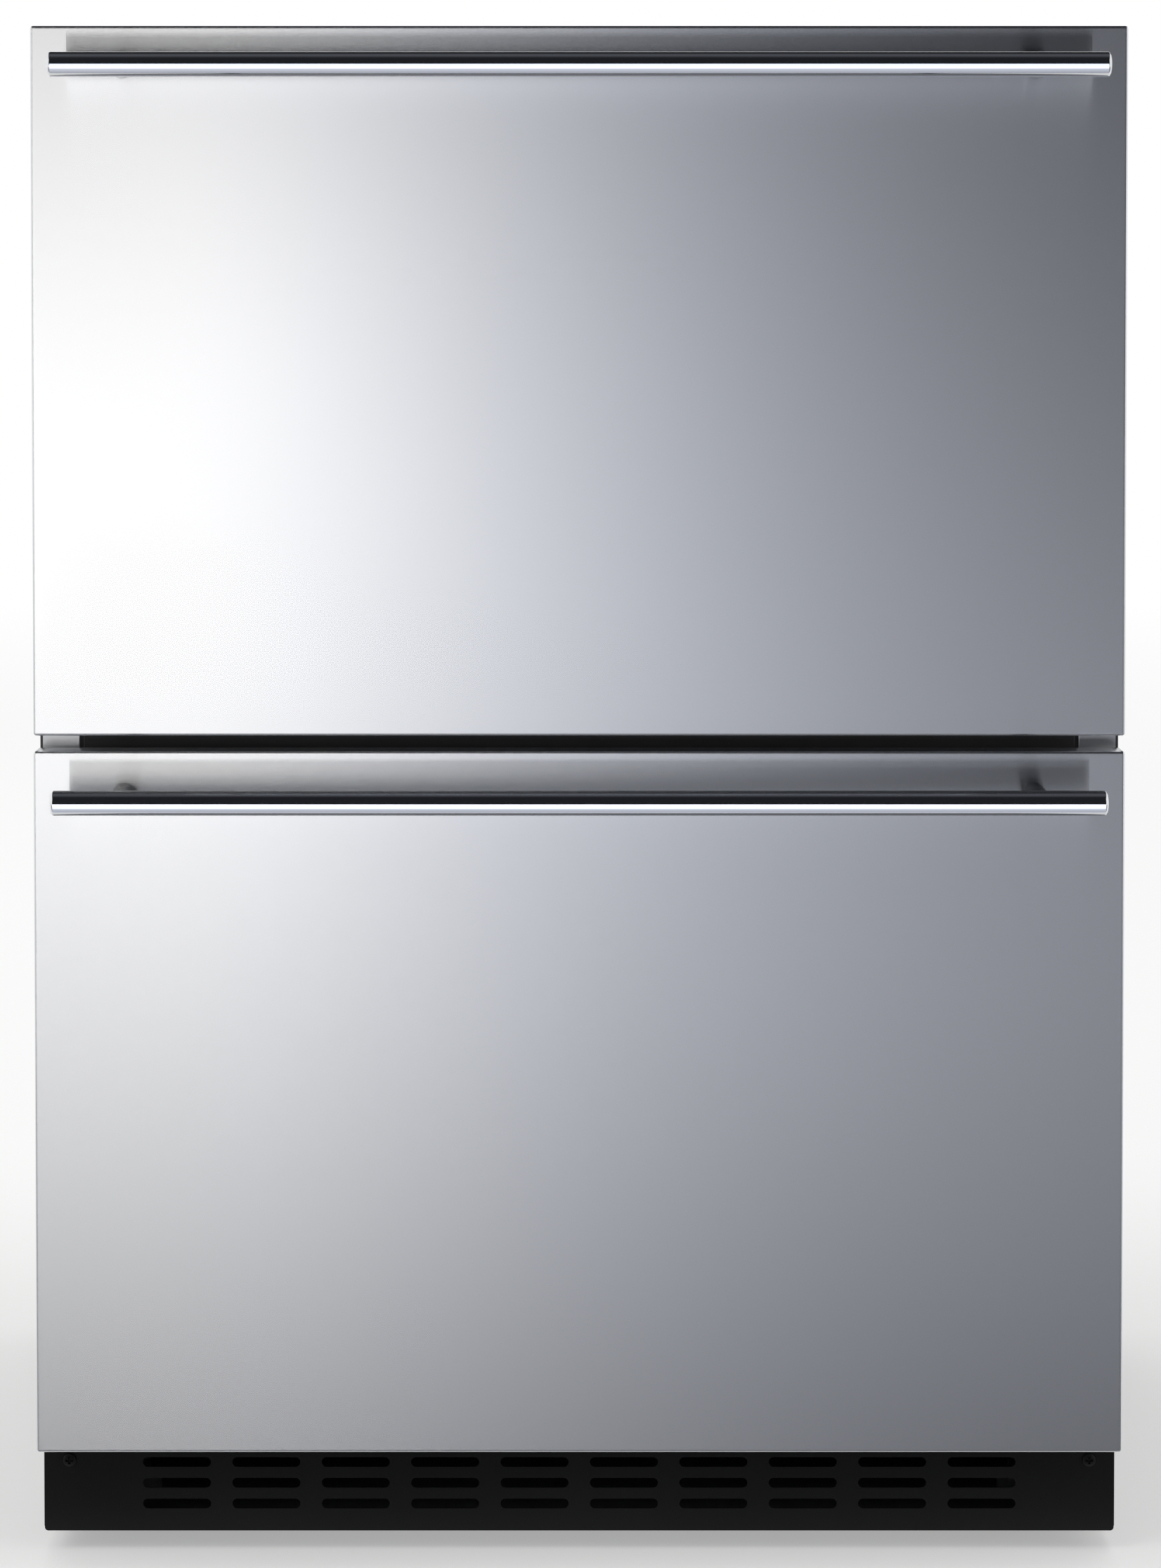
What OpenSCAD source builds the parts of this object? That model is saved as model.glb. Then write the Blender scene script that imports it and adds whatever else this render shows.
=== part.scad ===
/* [Drawer fronts] */
// Width of both drawer fronts
front_w = 600; // [570:1:640]
// Height of one drawer front
front_h = 389; // [380:1:400]
// Height of the lower front's lower edge over the floor
lower_z = 63.5; // [60:0.5:68]
// Gap between the two drawer fronts
front_gap = 8.5; // [5:0.5:12]
// Thickness of a drawer front at its edge
front_t = 22; // [18:1:30]
// Sheet thickness of the steel skin
skin_t = 1; // [0.6:0.1:1.5]
// Radius of the fronts' corners
corner_r = 1.6; // [1:0.1:4]
// Depth from a drawer front's face to the back of the cabinet
body_depth = 600; // [580:1:660]
// Space between a closed drawer front and the cabinet's face
gasket_gap = 8; // [6:0.5:12]

/* [Handles] */
// Diameter of the bar
bar_d = 13.5; // [10:0.5:18]
// Length of the bar
bar_len = 571; // [540:1:590]
// Distance from the front's face to the bar's axis
bar_reach = 50; // [35:1:60]
// Distance from the front's top edge down to the bar's axis
bar_drop = 23; // [15:1:40]
// Diameter of the posts
post_d = 12.5; // [9:0.5:16]
// Distance between the two posts of a handle
post_spacing = 500; // [400:1:520]
// Thread diameter of the screws that hold the posts
post_screw_d = 5; // [4:0.5:6]

/* [Cabinet] */
// How far each side of the cabinet lies inside the fronts' edges
side_inset = 0.5; // [-5:0.5:5]
// Distance from the fronts' top edge down to the cabinet's top
top_step = 6; // [4:0.5:10]
// Thickness of the cabinet's steel sheet
sheet_t = 1; // [0.6:0.1:1.5]
// Width of the bare steel flange round the cabinet's face
flange_w = 22; // [16:1:26]
// Width of the groove between the flange and the frame
groove_w = 2.4; // [1:0.1:4]
// Thickness of the insulated side walls
side_wall = 49.5; // [46:0.5:56]
// Thickness of the insulated top
top_wall = 44; // [38:1:52]
// Thickness of the insulated back
back_wall = 60; // [50:1:70]
// Thickness of the insulated floor, from the plenum to the liner's inside
floor_wall = 42; // [36:1:50]
// Thickness of the white liner
liner_t = 2; // [1.5:0.1:3]
// Thickness of the black frame round the openings
frame_t = 6; // [5:0.5:8]
// Height of the bar between the two openings
mullion_h = 51; // [46:1:56]

/* [Kick plate] */
// How far each end of the kick plate lies inside the cabinet's side
kick_inset = 0.5; // [0:0.5:5]
// Height of the kick plate's lower edge over the floor
kick_z = 12; // [10:0.5:14]
// Height of the kick plate
kick_h = 54; // [50:0.5:56]
// Thickness of the kick plate
kick_t = 1.5; // [1:0.1:2]
// Length of one air slot
slot_len = 38; // [20:1:42]
// Width of one air slot
slot_w = 5.5; // [3:0.1:7]
// Air slots in a row
slot_cols = 10; // [6:1:11]
// Rows of air slots
slot_rows = 3; // [2:1:3]
// Distance between slots in a row
slot_pitch = 50; // [46:0.5:52]
// Distance between rows
row_pitch = 11.7; // [9:0.1:12.5]
// Height of the lowest row over the kick plate's lower edge
row_rise = 15.3; // [10:0.1:17]
// Distance from each end of the kick plate to its screw
kick_screw_inset = 14; // [12:0.5:20]
// Height of the screws over the kick plate's lower edge
kick_screw_rise = 40; // [34:0.5:44]
// Head diameter of the cabinet's screws
screw_head_d = 7.6; // [6:0.2:9]
// Shank diameter of the cabinet's screws
screw_d = 4; // [3:0.1:4.5]

/* [Drawers] */
// Space between the slides and the evaporator cover behind them
slide_spare = 9; // [5:0.5:20]
// Height of the slides' outer member
slide_h = 45; // [40:1:50]
// Space that a slide takes beside the drawer
slide_t = 12.7; // [12:0.1:14]
// Sheet thickness of the slides and side frames
rail_t = 1.5; // [1.2:0.1:2]
// Wall thickness of the bins
bin_wall = 2.5; // [2:0.1:4]
// Corner radius of the bins
bin_r = 8; // [4:1:24]
// Space between the upper bin and the evaporator cover behind it
upper_bin_spare = 15; // [12:0.5:60]
// Height of the upper compartment's ceiling over the upper bin's rim
upper_bin_head = 100; // [60:1:150]
// Space between the lower bin and the step behind it
lower_bin_spare = 11; // [9:0.5:60]
// Height of the lower compartment's ceiling over the lower bin's rim
lower_bin_head = 33; // [28:1:80]
// Thickness of the drawer front's inner panel
panel_t = 2; // [1.5:0.1:3]
// How far the inner panel's plug reaches behind the front
plug_t = 27; // [20:1:28]
// Width of the magnetic gasket
gasket_w = 14; // [10:1:16]

/* [Machine compartment] */
// Height of the plenum's ceiling over the floor
plenum_z = 70; // [68:1:76]
// Height of the machine compartment's ceiling over the floor
machine_z = 240; // [238:1:250]
// Space in front of and behind the compressor's shell
machine_spare = 19; // [17.5:0.5:24]
// Diameter of the compressor's shell
compressor_d = 150; // [120:1:152]
// Height of the compressor's shell
compressor_h = 160; // [130:1:170]
// Diameter of the condenser fan
fan_d = 140; // [100:1:150]
// Diameter of the evaporator fan
air_fan_d = 106; // [80:1:112]
// Diameter of the fans' shafts
shaft_d = 5; // [4:0.5:6]
// Diameter of the refrigerant tubes
tube_d = 6; // [5:0.5:8]
// Diameter of the drain tube
drain_d = 12; // [10:1:14]

/* [Feet] */
// Diameter of a foot's disc
foot_d = 38; // [30:1:45]
// Thickness of a foot's disc
foot_h = 6; // [4:0.5:8]
// Diameter of a foot's stem
stem_d = 10; // [8:1:12]
// Height of the base pan's underside over the floor
pan_z = 14; // [13:0.5:16]
// Distance from the cabinet's sides to the feet's axes
foot_inset_x = 49.5; // [40:0.5:80]
// Distance from the cabinet's face and back to the feet's axes
foot_inset_y = 65; // [60:1:85]

/* [Counter brackets] */
// Distance from the cabinet's side to the bracket's hole
bracket_inset = 39.5; // [35:0.5:100]
// Diameter of the brackets' holes
bracket_hole_d = 5; // [4:0.1:6]

/* [Hidden] */
$fn = 48;

// Clearance of a screw or stem in its hole, and of a shaft in its bearing, on the radius
hole_gap = 0.2;
shaft_gap = 0.05;
// Clearance between neighbours that must not rub
rub_gap = 0.3;
// How far the rear panel and cover lie inside the wrapper's rear edge
rear_inset = 4;
cut = 1;

depth_all = body_depth + bar_reach + bar_d / 2;
face_y = -depth_all / 2 + bar_reach + bar_d / 2;
back_y = face_y + body_depth;
rear_y = back_y - rear_inset;
cab_y = face_y + front_t + gasket_gap;
lower_top = lower_z + front_h;
upper_z = lower_top + front_gap;
top_z = upper_z + front_h;
cab_top = top_z - top_step;
cabinet_w = front_w - 2 * side_inset;
kick_w = cabinet_w - 2 * kick_inset;
kick_top = kick_z + kick_h;
kick_screw_spacing = kick_w - 2 * kick_screw_inset;

half_in = cabinet_w / 2 - side_wall;
ceiling_z = cab_top - top_wall;
floor_z = plenum_z + floor_wall;
gap_z = (upper_z + lower_top) / 2;
mullion_bottom = gap_z - mullion_h / 2;
mullion_top = gap_z + mullion_h / 2;
machine_depth = compressor_d + 2 * machine_spare;
machine_y = rear_y - machine_depth;
step_y = machine_y - floor_wall + liner_t;
step_z = machine_z + floor_wall - liner_t;
liner_front = cab_y + frame_t;
liner_back = rear_y - back_wall;
frame_half = cabinet_w / 2 - flange_w - groove_w;
frame_bottom = kick_top + 2;
frame_top = cab_top - flange_w - groove_w;

pan_t = 1.5;
pan_top = pan_z + pan_t;
suction_d = tube_d + 2;
pan_front = cab_y + kick_t;
inner_half = cabinet_w / 2 - sheet_t;

panel_y = face_y + front_t;
plug_y = panel_y + plug_t;
plug_margin = 10;
gasket_inset = 4;

evaporator_y = liner_back - 46;
cover_y = liner_back - 56;
slide_front = plug_y + 6;
slide_back = cover_y - slide_spare;
slide_len = slide_back - slide_front;
frame_in = half_in - slide_t;
slide_drop = 35;
member_t = 1.4;
member_step = member_t + 0.6;
middle_short = 4;
bin_rim = 15;
bin_front = plug_y + 8;
upper_bin_z = mullion_top + 8;
lower_bin_z = floor_z + 10;
upper_rim_z = ceiling_z - upper_bin_head;
lower_rim_z = mullion_bottom - lower_bin_head;
upper_bin_len = cover_y - upper_bin_spare - bin_front;
lower_bin_len = step_y - lower_bin_spare - bin_front;
side_frame_h = 62;
side_frame_drop = 150;
side_frame_flange = 24;
ledge_w = 14;
bin_half = frame_in - rail_t - bin_rim - 1;

machine_mid = (machine_y + rear_y) / 2;
fan_z = pan_top + 112;
compressor_x = inner_half - 148.5;
motor_d = 50;
motor_len = 36;
motor_arm = 34;
motor_end = compressor_x - compressor_d / 2 - 61;
motor_x = motor_end - motor_len;
shroud_t = 4;
shroud_inset = 4;
shroud_x = motor_x - motor_arm - shroud_t;
liquid_x = shroud_x - 35;
condenser_x = -inner_half + 18.5;
condenser_end = liquid_x - 37;
condenser_w = condenser_end - condenser_x;
condenser_rise = 30;
condenser_h = machine_z - pan_top - condenser_rise - 18.5;
mount_h = 18;
foot_plate_t = 3;
foot_plate_x = 156;
foot_plate_y = 130;
mount_inset = 12;
discharge_x = compressor_x - 88;
discharge_z = 92;
suction_z = 150;
stem_len = 44;

air_fan_z = ceiling_z - 85;
coil_w = 2 * half_in - 70;
coil_d = 40;
coil_h = 140;
coil_z = air_fan_z - 215;
lines_y = evaporator_y + coil_d / 2;
suction_x = half_in - 14;
drain_x = motor_end + 31;
drain_pan_w = 170;
drain_pan_h = 30;
drain_pan_wall = 2;
drain_pan_x = drain_x - drain_pan_w / 2;
drain_pan_y = machine_y - 26 - drain_pan_w;
drain_low = 56;

button_w = 18;
button_h = 8;
button_proud = 1.6;
button_travel = 1;
console_w = 150;
console_h = 24;
console_d = 30;
console_y = slide_front - 3;

// A rectangle with rounded corners, centred on x and standing on y = 0
module rounded_plate(w, h, r) {
    translate([-w / 2 + r, 0]) square([w - 2 * r, h]);
    translate([-w / 2, r]) square([w, h - 2 * r]);
    for (x = [-w / 2 + r, w / 2 - r], y = [r, h - r]) {
        translate([x, y]) circle(r);
    }
}

// A shape drawn in x and z, given a thickness from y onward
module upright(y, t) {
    translate([0, y + t, 0]) rotate([90, 0, 0]) linear_extrude(t) children();
}

// A shape drawn in y and z, given a width centred on x = 0
module across(w) {
    rotate([90, 0, 90]) translate([0, 0, -w / 2]) linear_extrude(w) children();
}

module box(x0, x1, y0, y1, z0, z1) {
    translate([x0, y0, z0]) cube([x1 - x0, y1 - y0, z1 - z0]);
}

module rod_x(x0, x1, y, z, d) {
    translate([x0, y, z]) rotate([0, 90, 0]) cylinder(d = d, h = x1 - x0);
}

module rod_y(x, y0, y1, z, d) {
    translate([x, y1, z]) rotate([90, 0, 0]) cylinder(d = d, h = y1 - y0);
}

module both_sides() {
    children();
    mirror([1, 0, 0]) children();
}

// A tube through a list of points, with a ball at each bend
module bent_tube(points, d) {
    for (i = [0 : len(points) - 2]) {
        run = points[i + 1] - points[i];
        reach = norm(run);
        turn = [0, acos(run[2] / reach), atan2(run[1], run[0])];
        translate(points[i]) rotate(turn) cylinder(d = d, h = reach, $fn = 24);
    }
    for (i = [1 : len(points) - 2]) {
        translate(points[i]) sphere(d = d, $fn = 24);
    }
}

// The liner's inside seen from the side, made larger by grow
function cavity(grow, front) = [
    [front, floor_z - grow],
    [step_y + grow, floor_z - grow],
    [step_y + grow, step_z - grow],
    [liner_back + grow, step_z - grow],
    [liner_back + grow, ceiling_z + grow],
    [front, ceiling_z + grow]
];

module opening(z0, z1, grow) {
    translate([0, z0 - grow]) rounded_plate(2 * (half_in + grow), z1 - z0 + 2 * grow, 6 + grow);
}

module both_openings() {
    opening(floor_z, mullion_bottom, 0);
    opening(mullion_top, ceiling_z, 0);
}

module outer_wrapper() {
    color("#3a3b3d") difference() {
        union() {
            box(-cabinet_w / 2, cabinet_w / 2, cab_y, back_y, cab_top - sheet_t, cab_top);
            both_sides() box(inner_half, cabinet_w / 2, cab_y, back_y, pan_z, cab_top);
            both_sides() box(cabinet_w / 2 - flange_w, cabinet_w / 2, cab_y, cab_y + sheet_t,
                kick_top + rub_gap, cab_top);
            box(-cabinet_w / 2, cabinet_w / 2, cab_y, cab_y + sheet_t, cab_top - flange_w, cab_top);
        }
        both_sides() box(kick_w / 2 - 2, cabinet_w, cab_y - cut, cab_y + kick_t + rub_gap, 0,
            kick_top + rub_gap);
    }
}

module stepped_floor() {
    color("#b4b6b8") difference() {
        across(2 * inner_half) polygon([
            [liner_front, plenum_z],
            [machine_y + sheet_t, plenum_z],
            [machine_y + sheet_t, machine_z],
            [rear_y - sheet_t, machine_z],
            [rear_y - sheet_t, machine_z + sheet_t],
            [machine_y, machine_z + sheet_t],
            [machine_y, plenum_z + sheet_t],
            [liner_front, plenum_z + sheet_t]
        ]);
        tube_holes();
    }
}

// The holes that the drain and the refrigerant lines need through the floor and the foam
module tube_holes() {
    depth = step_z - pan_top + cut;
    translate([drain_x, lines_y, pan_top]) cylinder(d = drain_d, h = depth);
    translate([suction_x, lines_y, pan_top]) cylinder(d = suction_d, h = depth);
    translate([liquid_x, lines_y, pan_top]) cylinder(d = tube_d, h = depth);
}

module rear_panel() {
    color("#b4b6b8")
        box(-inner_half, inner_half, rear_y - sheet_t, rear_y, machine_z, cab_top - sheet_t);
}

foot_boss_h = 14;
kick_screw_reach = 12;

module base_pan() {
    color("#8f9193") difference() {
        union() {
            box(-inner_half, inner_half, pan_front, rear_y - sheet_t, pan_z, pan_top);
            both_sides() box(inner_half - pan_t, inner_half, pan_front, rear_y - sheet_t, pan_z,
                plenum_z);
            both_sides() box(kick_screw_spacing / 2 - 12, inner_half, pan_front, pan_front + pan_t,
                pan_z, kick_top - 2);
            each_foot() cylinder(d = stem_d + 12, h = foot_boss_h, $fn = 6);
        }
        each_foot() translate([0, 0, -cut])
            cylinder(d = stem_d + 2 * hole_gap, h = foot_boss_h + 2 * cut);
        kick_screw_places() rod_y(0, -cut, kick_screw_reach, 0, screw_d + 2 * hole_gap);
    }
}

foot_x = cabinet_w / 2 - foot_inset_x;
foot_front_y = cab_y + foot_inset_y;
foot_rear_y = back_y - foot_inset_y;

module each_foot() {
    for (x = [-foot_x, foot_x], y = [foot_front_y, foot_rear_y]) {
        translate([x, y, pan_z]) children();
    }
}

module kick_screw_places() {
    for (x = [-1, 1]) {
        translate([x * kick_screw_spacing / 2, cab_y, kick_z + kick_screw_rise]) children();
    }
}

module front_frame() {
    lip = 10;
    color("#17181a") {
        difference() {
            union() {
                upright(cab_y, frame_t) translate([-frame_half, frame_bottom])
                    square([2 * frame_half, frame_top - frame_bottom]);
                upright(cab_y + sheet_t, frame_t - sheet_t)
                    translate([-frame_half - lip, frame_bottom])
                    square([2 * (frame_half + lip), frame_top + lip - frame_bottom]);
            }
            upright(cab_y - cut, frame_t + 2 * cut) both_openings();
        }
    }
}

module mullion_core() {
    color("#202124") box(-half_in, half_in, liner_front, liner_front + 44, mullion_bottom + 2,
        mullion_top - 2);
}

module inner_liner() {
    color("#eef0f1") difference() {
        across(2 * (half_in + liner_t)) polygon(cavity(liner_t, liner_front));
        across(2 * half_in) polygon(cavity(0, liner_front - cut));
        tube_holes();
    }
}

module cabinet_foam() {
    color("#e7d9a6") difference() {
        across(2 * inner_half) polygon([
            [liner_front, plenum_z + sheet_t],
            [machine_y, plenum_z + sheet_t],
            [machine_y, machine_z + sheet_t],
            [rear_y - sheet_t, machine_z + sheet_t],
            [rear_y - sheet_t, cab_top - sheet_t],
            [liner_front, cab_top - sheet_t]
        ]);
        across(2 * (half_in + liner_t)) polygon(cavity(liner_t, liner_front - cut));
        tube_holes();
    }
}

module slot() {
    translate([-(slot_len - slot_w) / 2, -slot_w / 2]) square([slot_len - slot_w, slot_w]);
    for (x = [-1, 1]) {
        translate([x * (slot_len - slot_w) / 2, 0]) circle(d = slot_w);
    }
}

module kick_plate() {
    color("#1b1c1e") difference() {
        upright(cab_y, kick_t) difference() {
            translate([0, kick_z]) rounded_plate(kick_w, kick_h, 2);
            for (col = [0 : slot_cols - 1], row = [0 : slot_rows - 1]) {
                translate([(col - (slot_cols - 1) / 2) * slot_pitch,
                    kick_z + row_rise + row * row_pitch]) slot();
            }
        }
        kick_screw_places() rod_y(0, -cut, kick_screw_reach, 0, screw_d + 2 * hole_gap);
    }
}

cover_top = machine_z - 2;
cover_t = 1.2;
cover_screw_inset = 12;
louvre_cols = 7;
louvre_rows = 12;
louvre_pitch_x = 52;
louvre_pitch_z = 13;
louvre_x = -inner_half + 83.5;
louvre_z = pan_top + 34.5;
inlet_x = half_in - 18;
inlet_z = 60;
inlet_w = 48;
inlet_h = 26;
cover_screws = [
    for (x = [-1, 0, 1]) [x * (inner_half - cover_screw_inset), cover_top - 8],
    for (x = [-1, 1]) [x * (inner_half - cover_screw_inset), pan_top + 14]
];

module machine_cover() {
    color("#2a2b2d") upright(rear_y - sheet_t, cover_t) difference() {
        translate([-inner_half, pan_z]) square([2 * inner_half, cover_top - pan_z]);
        for (col = [0 : louvre_cols - 1], row = [0 : louvre_rows - 1]) {
            translate([louvre_x + col * louvre_pitch_x, louvre_z + row * louvre_pitch_z]) slot();
        }
        translate([inlet_x - inlet_w / 2, inlet_z - inlet_h / 2]) square([inlet_w, inlet_h]);
        for (place = cover_screws) {
            translate(place) circle(d = screw_d + 2 * hole_gap);
        }
    }
}

module cabinet_screws() {
    head_t = 2;
    outside = cover_t - sheet_t;
    color("#0e0e0f") {
        kick_screw_places() {
            rod_y(0, -head_t, 0, 0, screw_head_d);
            rod_y(0, -head_t / 2, kick_screw_reach, 0, screw_d);
        }
        for (place = cover_screws) {
            translate([place[0], rear_y, place[1]]) {
                rod_y(0, outside, outside + head_t, 0, screw_head_d);
                rod_y(0, outside - 10, outside + head_t / 2, 0, screw_d);
            }
        }
    }
}

bracket_y = cab_y + 24;
bracket_t = 1.8;
bracket_half_w = 12;
bracket_foot = 16;
bracket_len = 60;
bracket_hole_y = 38;

module counter_brackets() {
    riser = bracket_foot - bracket_t;
    bracket_x = cabinet_w / 2 - bracket_inset;
    color("#b4b6b8") both_sides() translate([bracket_x, bracket_y, cab_top]) difference() {
        union() {
            box(-bracket_half_w, bracket_half_w, 0, bracket_foot, 0, bracket_t);
            box(-bracket_half_w, bracket_half_w, riser, bracket_foot, 0, top_step);
            box(-bracket_half_w, bracket_half_w, riser, bracket_len, top_step - bracket_t, top_step);
        }
        translate([0, bracket_hole_y, -cut]) cylinder(d = bracket_hole_d, h = top_step + 2 * cut);
    }
}

shell_z = pan_top + mount_h + foot_plate_t;
mount_stem_d = 10;
discharge_side = 34;

module compressor() {
    r = compressor_d / 2;
    color("#1d1e20") translate([compressor_x, machine_mid, 0]) {
        translate([0, 0, shell_z]) rotate_extrude($fn = 64) difference() {
            union() {
                translate([0, 12]) square([r - 3, compressor_h - 44]);
                translate([0, 0]) square([r - 15, 13]);
                translate([0, compressor_h / 2 - 4]) square([r, 8]);
                intersection() {
                    translate([0, compressor_h - 32]) circle(r - 3);
                    translate([0, compressor_h - 33]) square([r, 33]);
                }
            }
            translate([-2 * r, 0]) square([2 * r, 2 * compressor_h]);
        }
        difference() {
            box(-foot_plate_x / 2, foot_plate_x / 2, -foot_plate_y / 2, foot_plate_y / 2,
                shell_z - foot_plate_t, shell_z);
            mount_places() cylinder(d = mount_stem_d + 2 * hole_gap, h = machine_z);
        }
        box(-22, 22, -r - 16, -r + 12, shell_z + 56, shell_z + 106);
    }
    color("#b0703c") {
        rod_x(discharge_x + tube_d, compressor_x - 50, machine_mid - discharge_side, discharge_z, tube_d);
        rod_x(compressor_x + 60, suction_x - suction_d, machine_mid, suction_z, suction_d);
    }
}

module mount_places() {
    for (x = [-1, 1], y = [-1, 1]) {
        translate([x * (foot_plate_x / 2 - mount_inset), y * (foot_plate_y / 2 - mount_inset), 0])
            children();
    }
}

module compressor_mounts() {
    color("#26272a") translate([compressor_x, machine_mid, pan_top]) mount_places() {
        difference() {
            union() {
                cylinder(d = 24, h = mount_h);
                cylinder(d = mount_stem_d, h = mount_h + foot_plate_t + 1);
            }
            translate([0, 0, -cut]) cylinder(d = 6, h = mount_h + 10);
        }
    }
}

// A finned coil: straight tubes along x, joined by bends, through fins
// The two end fins stand lower than the others by leg
module finned_coil(w, d, h, fins, rows, tube, leg) {
    pitch = h / rows;
    fin_t = 0.8;
    fin_inset = 12;
    for (row = [0 : rows - 1]) {
        translate([0, d / 2, pitch * (row + 0.5)]) rotate([0, 90, 0])
            cylinder(d = tube, h = w, $fn = 24);
    }
    for (row = [0 : rows - 2]) {
        right = row % 2 == 0;
        translate([right ? w : 0, d / 2, pitch * (row + 1)]) rotate([90, 0, 0])
            rotate([0, 0, right ? -90 : 90]) rotate_extrude(angle = 180, $fn = 24)
            translate([pitch / 2, 0]) circle(d = tube);
    }
    for (i = [0 : fins - 1]) {
        drop = i == 0 || i == fins - 1 ? leg : 0;
        translate([fin_inset + i * (w - 2 * fin_inset) / (fins - 1) - fin_t / 2, 0, -drop])
            cube([fin_t, d, h + drop]);
    }
}

module condenser_coil() {
    color("#3b3d40") {
        translate([condenser_end, machine_y + 24, pan_top + condenser_rise])
            rotate([0, 0, 90])
            finned_coil(machine_depth - 48, condenser_w, condenser_h, 16, 8, tube_d, condenser_rise);
    }
}

module fan_shroud() {
    arm_x = shroud_x + shroud_t;
    arm_end = arm_x + motor_arm;
    arm_y = fan_d / 2 + 9.5;
    arm_half = 4;
    arm_rise = 8;
    color("#2b2d30") {
        difference() {
            union() {
                box(shroud_x, shroud_x + shroud_t, machine_y + sheet_t + shroud_inset,
                    rear_y - sheet_t - shroud_inset, pan_top, machine_z - shroud_inset);
                for (y = [machine_mid - arm_y, machine_mid + arm_y]) {
                    box(arm_x - cut, arm_end, y - arm_half, y + arm_half, fan_z - arm_rise,
                        fan_z + arm_rise);
                }
                box(arm_end - shroud_t, arm_end, machine_mid - arm_y - arm_half,
                    machine_mid + arm_y + arm_half, fan_z - arm_rise, fan_z + arm_rise);
            }
            rod_x(shroud_x - cut, arm_x + cut, machine_mid, fan_z, fan_d + 8);
            rod_x(arm_end - shroud_t - cut, arm_end + cut, machine_mid, fan_z, shaft_d + 4);
            box(shroud_x - cut, arm_x + cut, machine_mid - discharge_side - 16,
                machine_mid - discharge_side + 16, pan_top - cut, pan_top + 18);
        }
    }
}

module condenser_motor() {
    color("#55585c") difference() {
        rod_x(motor_x, motor_end, machine_mid, fan_z, motor_d);
        rod_x(motor_x - cut, motor_end - 10, machine_mid, fan_z, shaft_d + 2 * shaft_gap);
    }
}

// A bladed rotor about z, its hub standing on z = 0
module rotor(d, hub_d, h, blades) {
    cylinder(d = hub_d, h = h);
    intersection() {
        cylinder(d = d, h = h);
        for (i = [0 : blades - 1]) {
            rotate([0, 0, i * 360 / blades]) translate([hub_d / 2 - 3, 0, h / 2]) rotate([28, 0, 0])
                translate([0, -d * 0.14, -0.9]) cube([d / 2, d * 0.28, 1.8]);
        }
    }
}

module condenser_fan() {
    back_gap = 6;
    color("#33363a") translate([shroud_x + shroud_t + back_gap, machine_mid, fan_z]) rotate([0, 90, 0]) {
        rotor(fan_d, 40, 20, 5);
        cylinder(d = shaft_d, h = motor_arm - back_gap + 20);
    }
}

drier_z = 96;
drier_d = 18;
drier_h = 84;
drier_cone = 10;

module filter_drier() {
    color("#b87a45") translate([liquid_x, lines_y, drier_z]) {
        cylinder(d = drier_d, h = drier_h);
        translate([0, 0, drier_h]) cylinder(d1 = drier_d, d2 = tube_d, h = drier_cone);
        translate([0, 0, -drier_cone]) cylinder(d1 = tube_d, d2 = drier_d, h = drier_cone);
    }
}

module refrigerant_lines() {
    low_z = pan_top + tube_d / 2 + 4;
    header_z = 60;
    header_x = condenser_end + 14;
    y_out = machine_mid - discharge_side;
    color("#b0703c") {
        bent_tube([[discharge_x + tube_d, y_out, discharge_z], [discharge_x, y_out, discharge_z],
            [discharge_x, y_out, low_z], [header_x, y_out, low_z], [header_x, y_out, header_z],
            [condenser_end, y_out, header_z]], tube_d);
        bent_tube([[condenser_end, lines_y, header_z], [liquid_x, lines_y, header_z],
            [liquid_x, lines_y, drier_z - drier_cone]], tube_d);
        bent_tube([[liquid_x, lines_y, drier_z + drier_h + drier_cone],
            [liquid_x, lines_y, coil_z - 10], [liquid_x, lines_y, coil_z]], tube_d);
        bent_tube([[suction_x, lines_y, coil_z + 20], [suction_x, lines_y, suction_z],
            [suction_x, machine_mid, suction_z], [suction_x - suction_d, machine_mid, suction_z]],
            suction_d);
    }
}

module drain_pan() {
    translate([drain_pan_x, drain_pan_y, pan_top]) color("#2d2f32") difference() {
        cube([drain_pan_w, drain_pan_w, drain_pan_h]);
        translate([drain_pan_wall, drain_pan_wall, drain_pan_wall])
            cube([drain_pan_w - 2 * drain_pan_wall, drain_pan_w - 2 * drain_pan_wall, drain_pan_h]);
    }
}

module drain_tube() {
    outlet_y = drain_pan_y + drain_pan_w - 40;
    color("#d8dadb") bent_tube([[drain_x, lines_y, step_z - liner_t],
        [drain_x, lines_y, drain_low], [drain_x, outlet_y, drain_low]], drain_d);
}

module evaporator_coil() {
    color("#c3c6c9") translate([-coil_w / 2, evaporator_y, coil_z])
        finned_coil(coil_w, coil_d, coil_h, 22, 5, 9, 0);
}

vent_pitch = 60;
grille_slot = 5;

module evaporator_cover() {
    color("#f1f3f4") upright(cover_y, 3) difference() {
        translate([-half_in + 1, step_z]) square([2 * half_in - 2, ceiling_z - step_z]);
        for (col = [-3 : 3], inset = [24, 36]) {
            translate([col * vent_pitch, ceiling_z - inset]) slot();
            translate([col * vent_pitch, step_z + inset]) slot();
        }
        for (row = [-4 : 4]) {
            rise = row * air_fan_d / 9.6;
            reach = sqrt(pow(air_fan_d / 2, 2) - pow(rise, 2)) - 3;
            translate([-reach, air_fan_z + rise - grille_slot / 2]) square([2 * reach, grille_slot]);
        }
    }
}

air_motor_d = 44;
air_motor_y = liner_back - 28;
air_shaft_y = liner_back - 12;
air_fan_y = air_motor_y - 20;
air_bracket_t = 4;
air_bracket_half = 70;
air_bracket_rise = 9;

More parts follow.
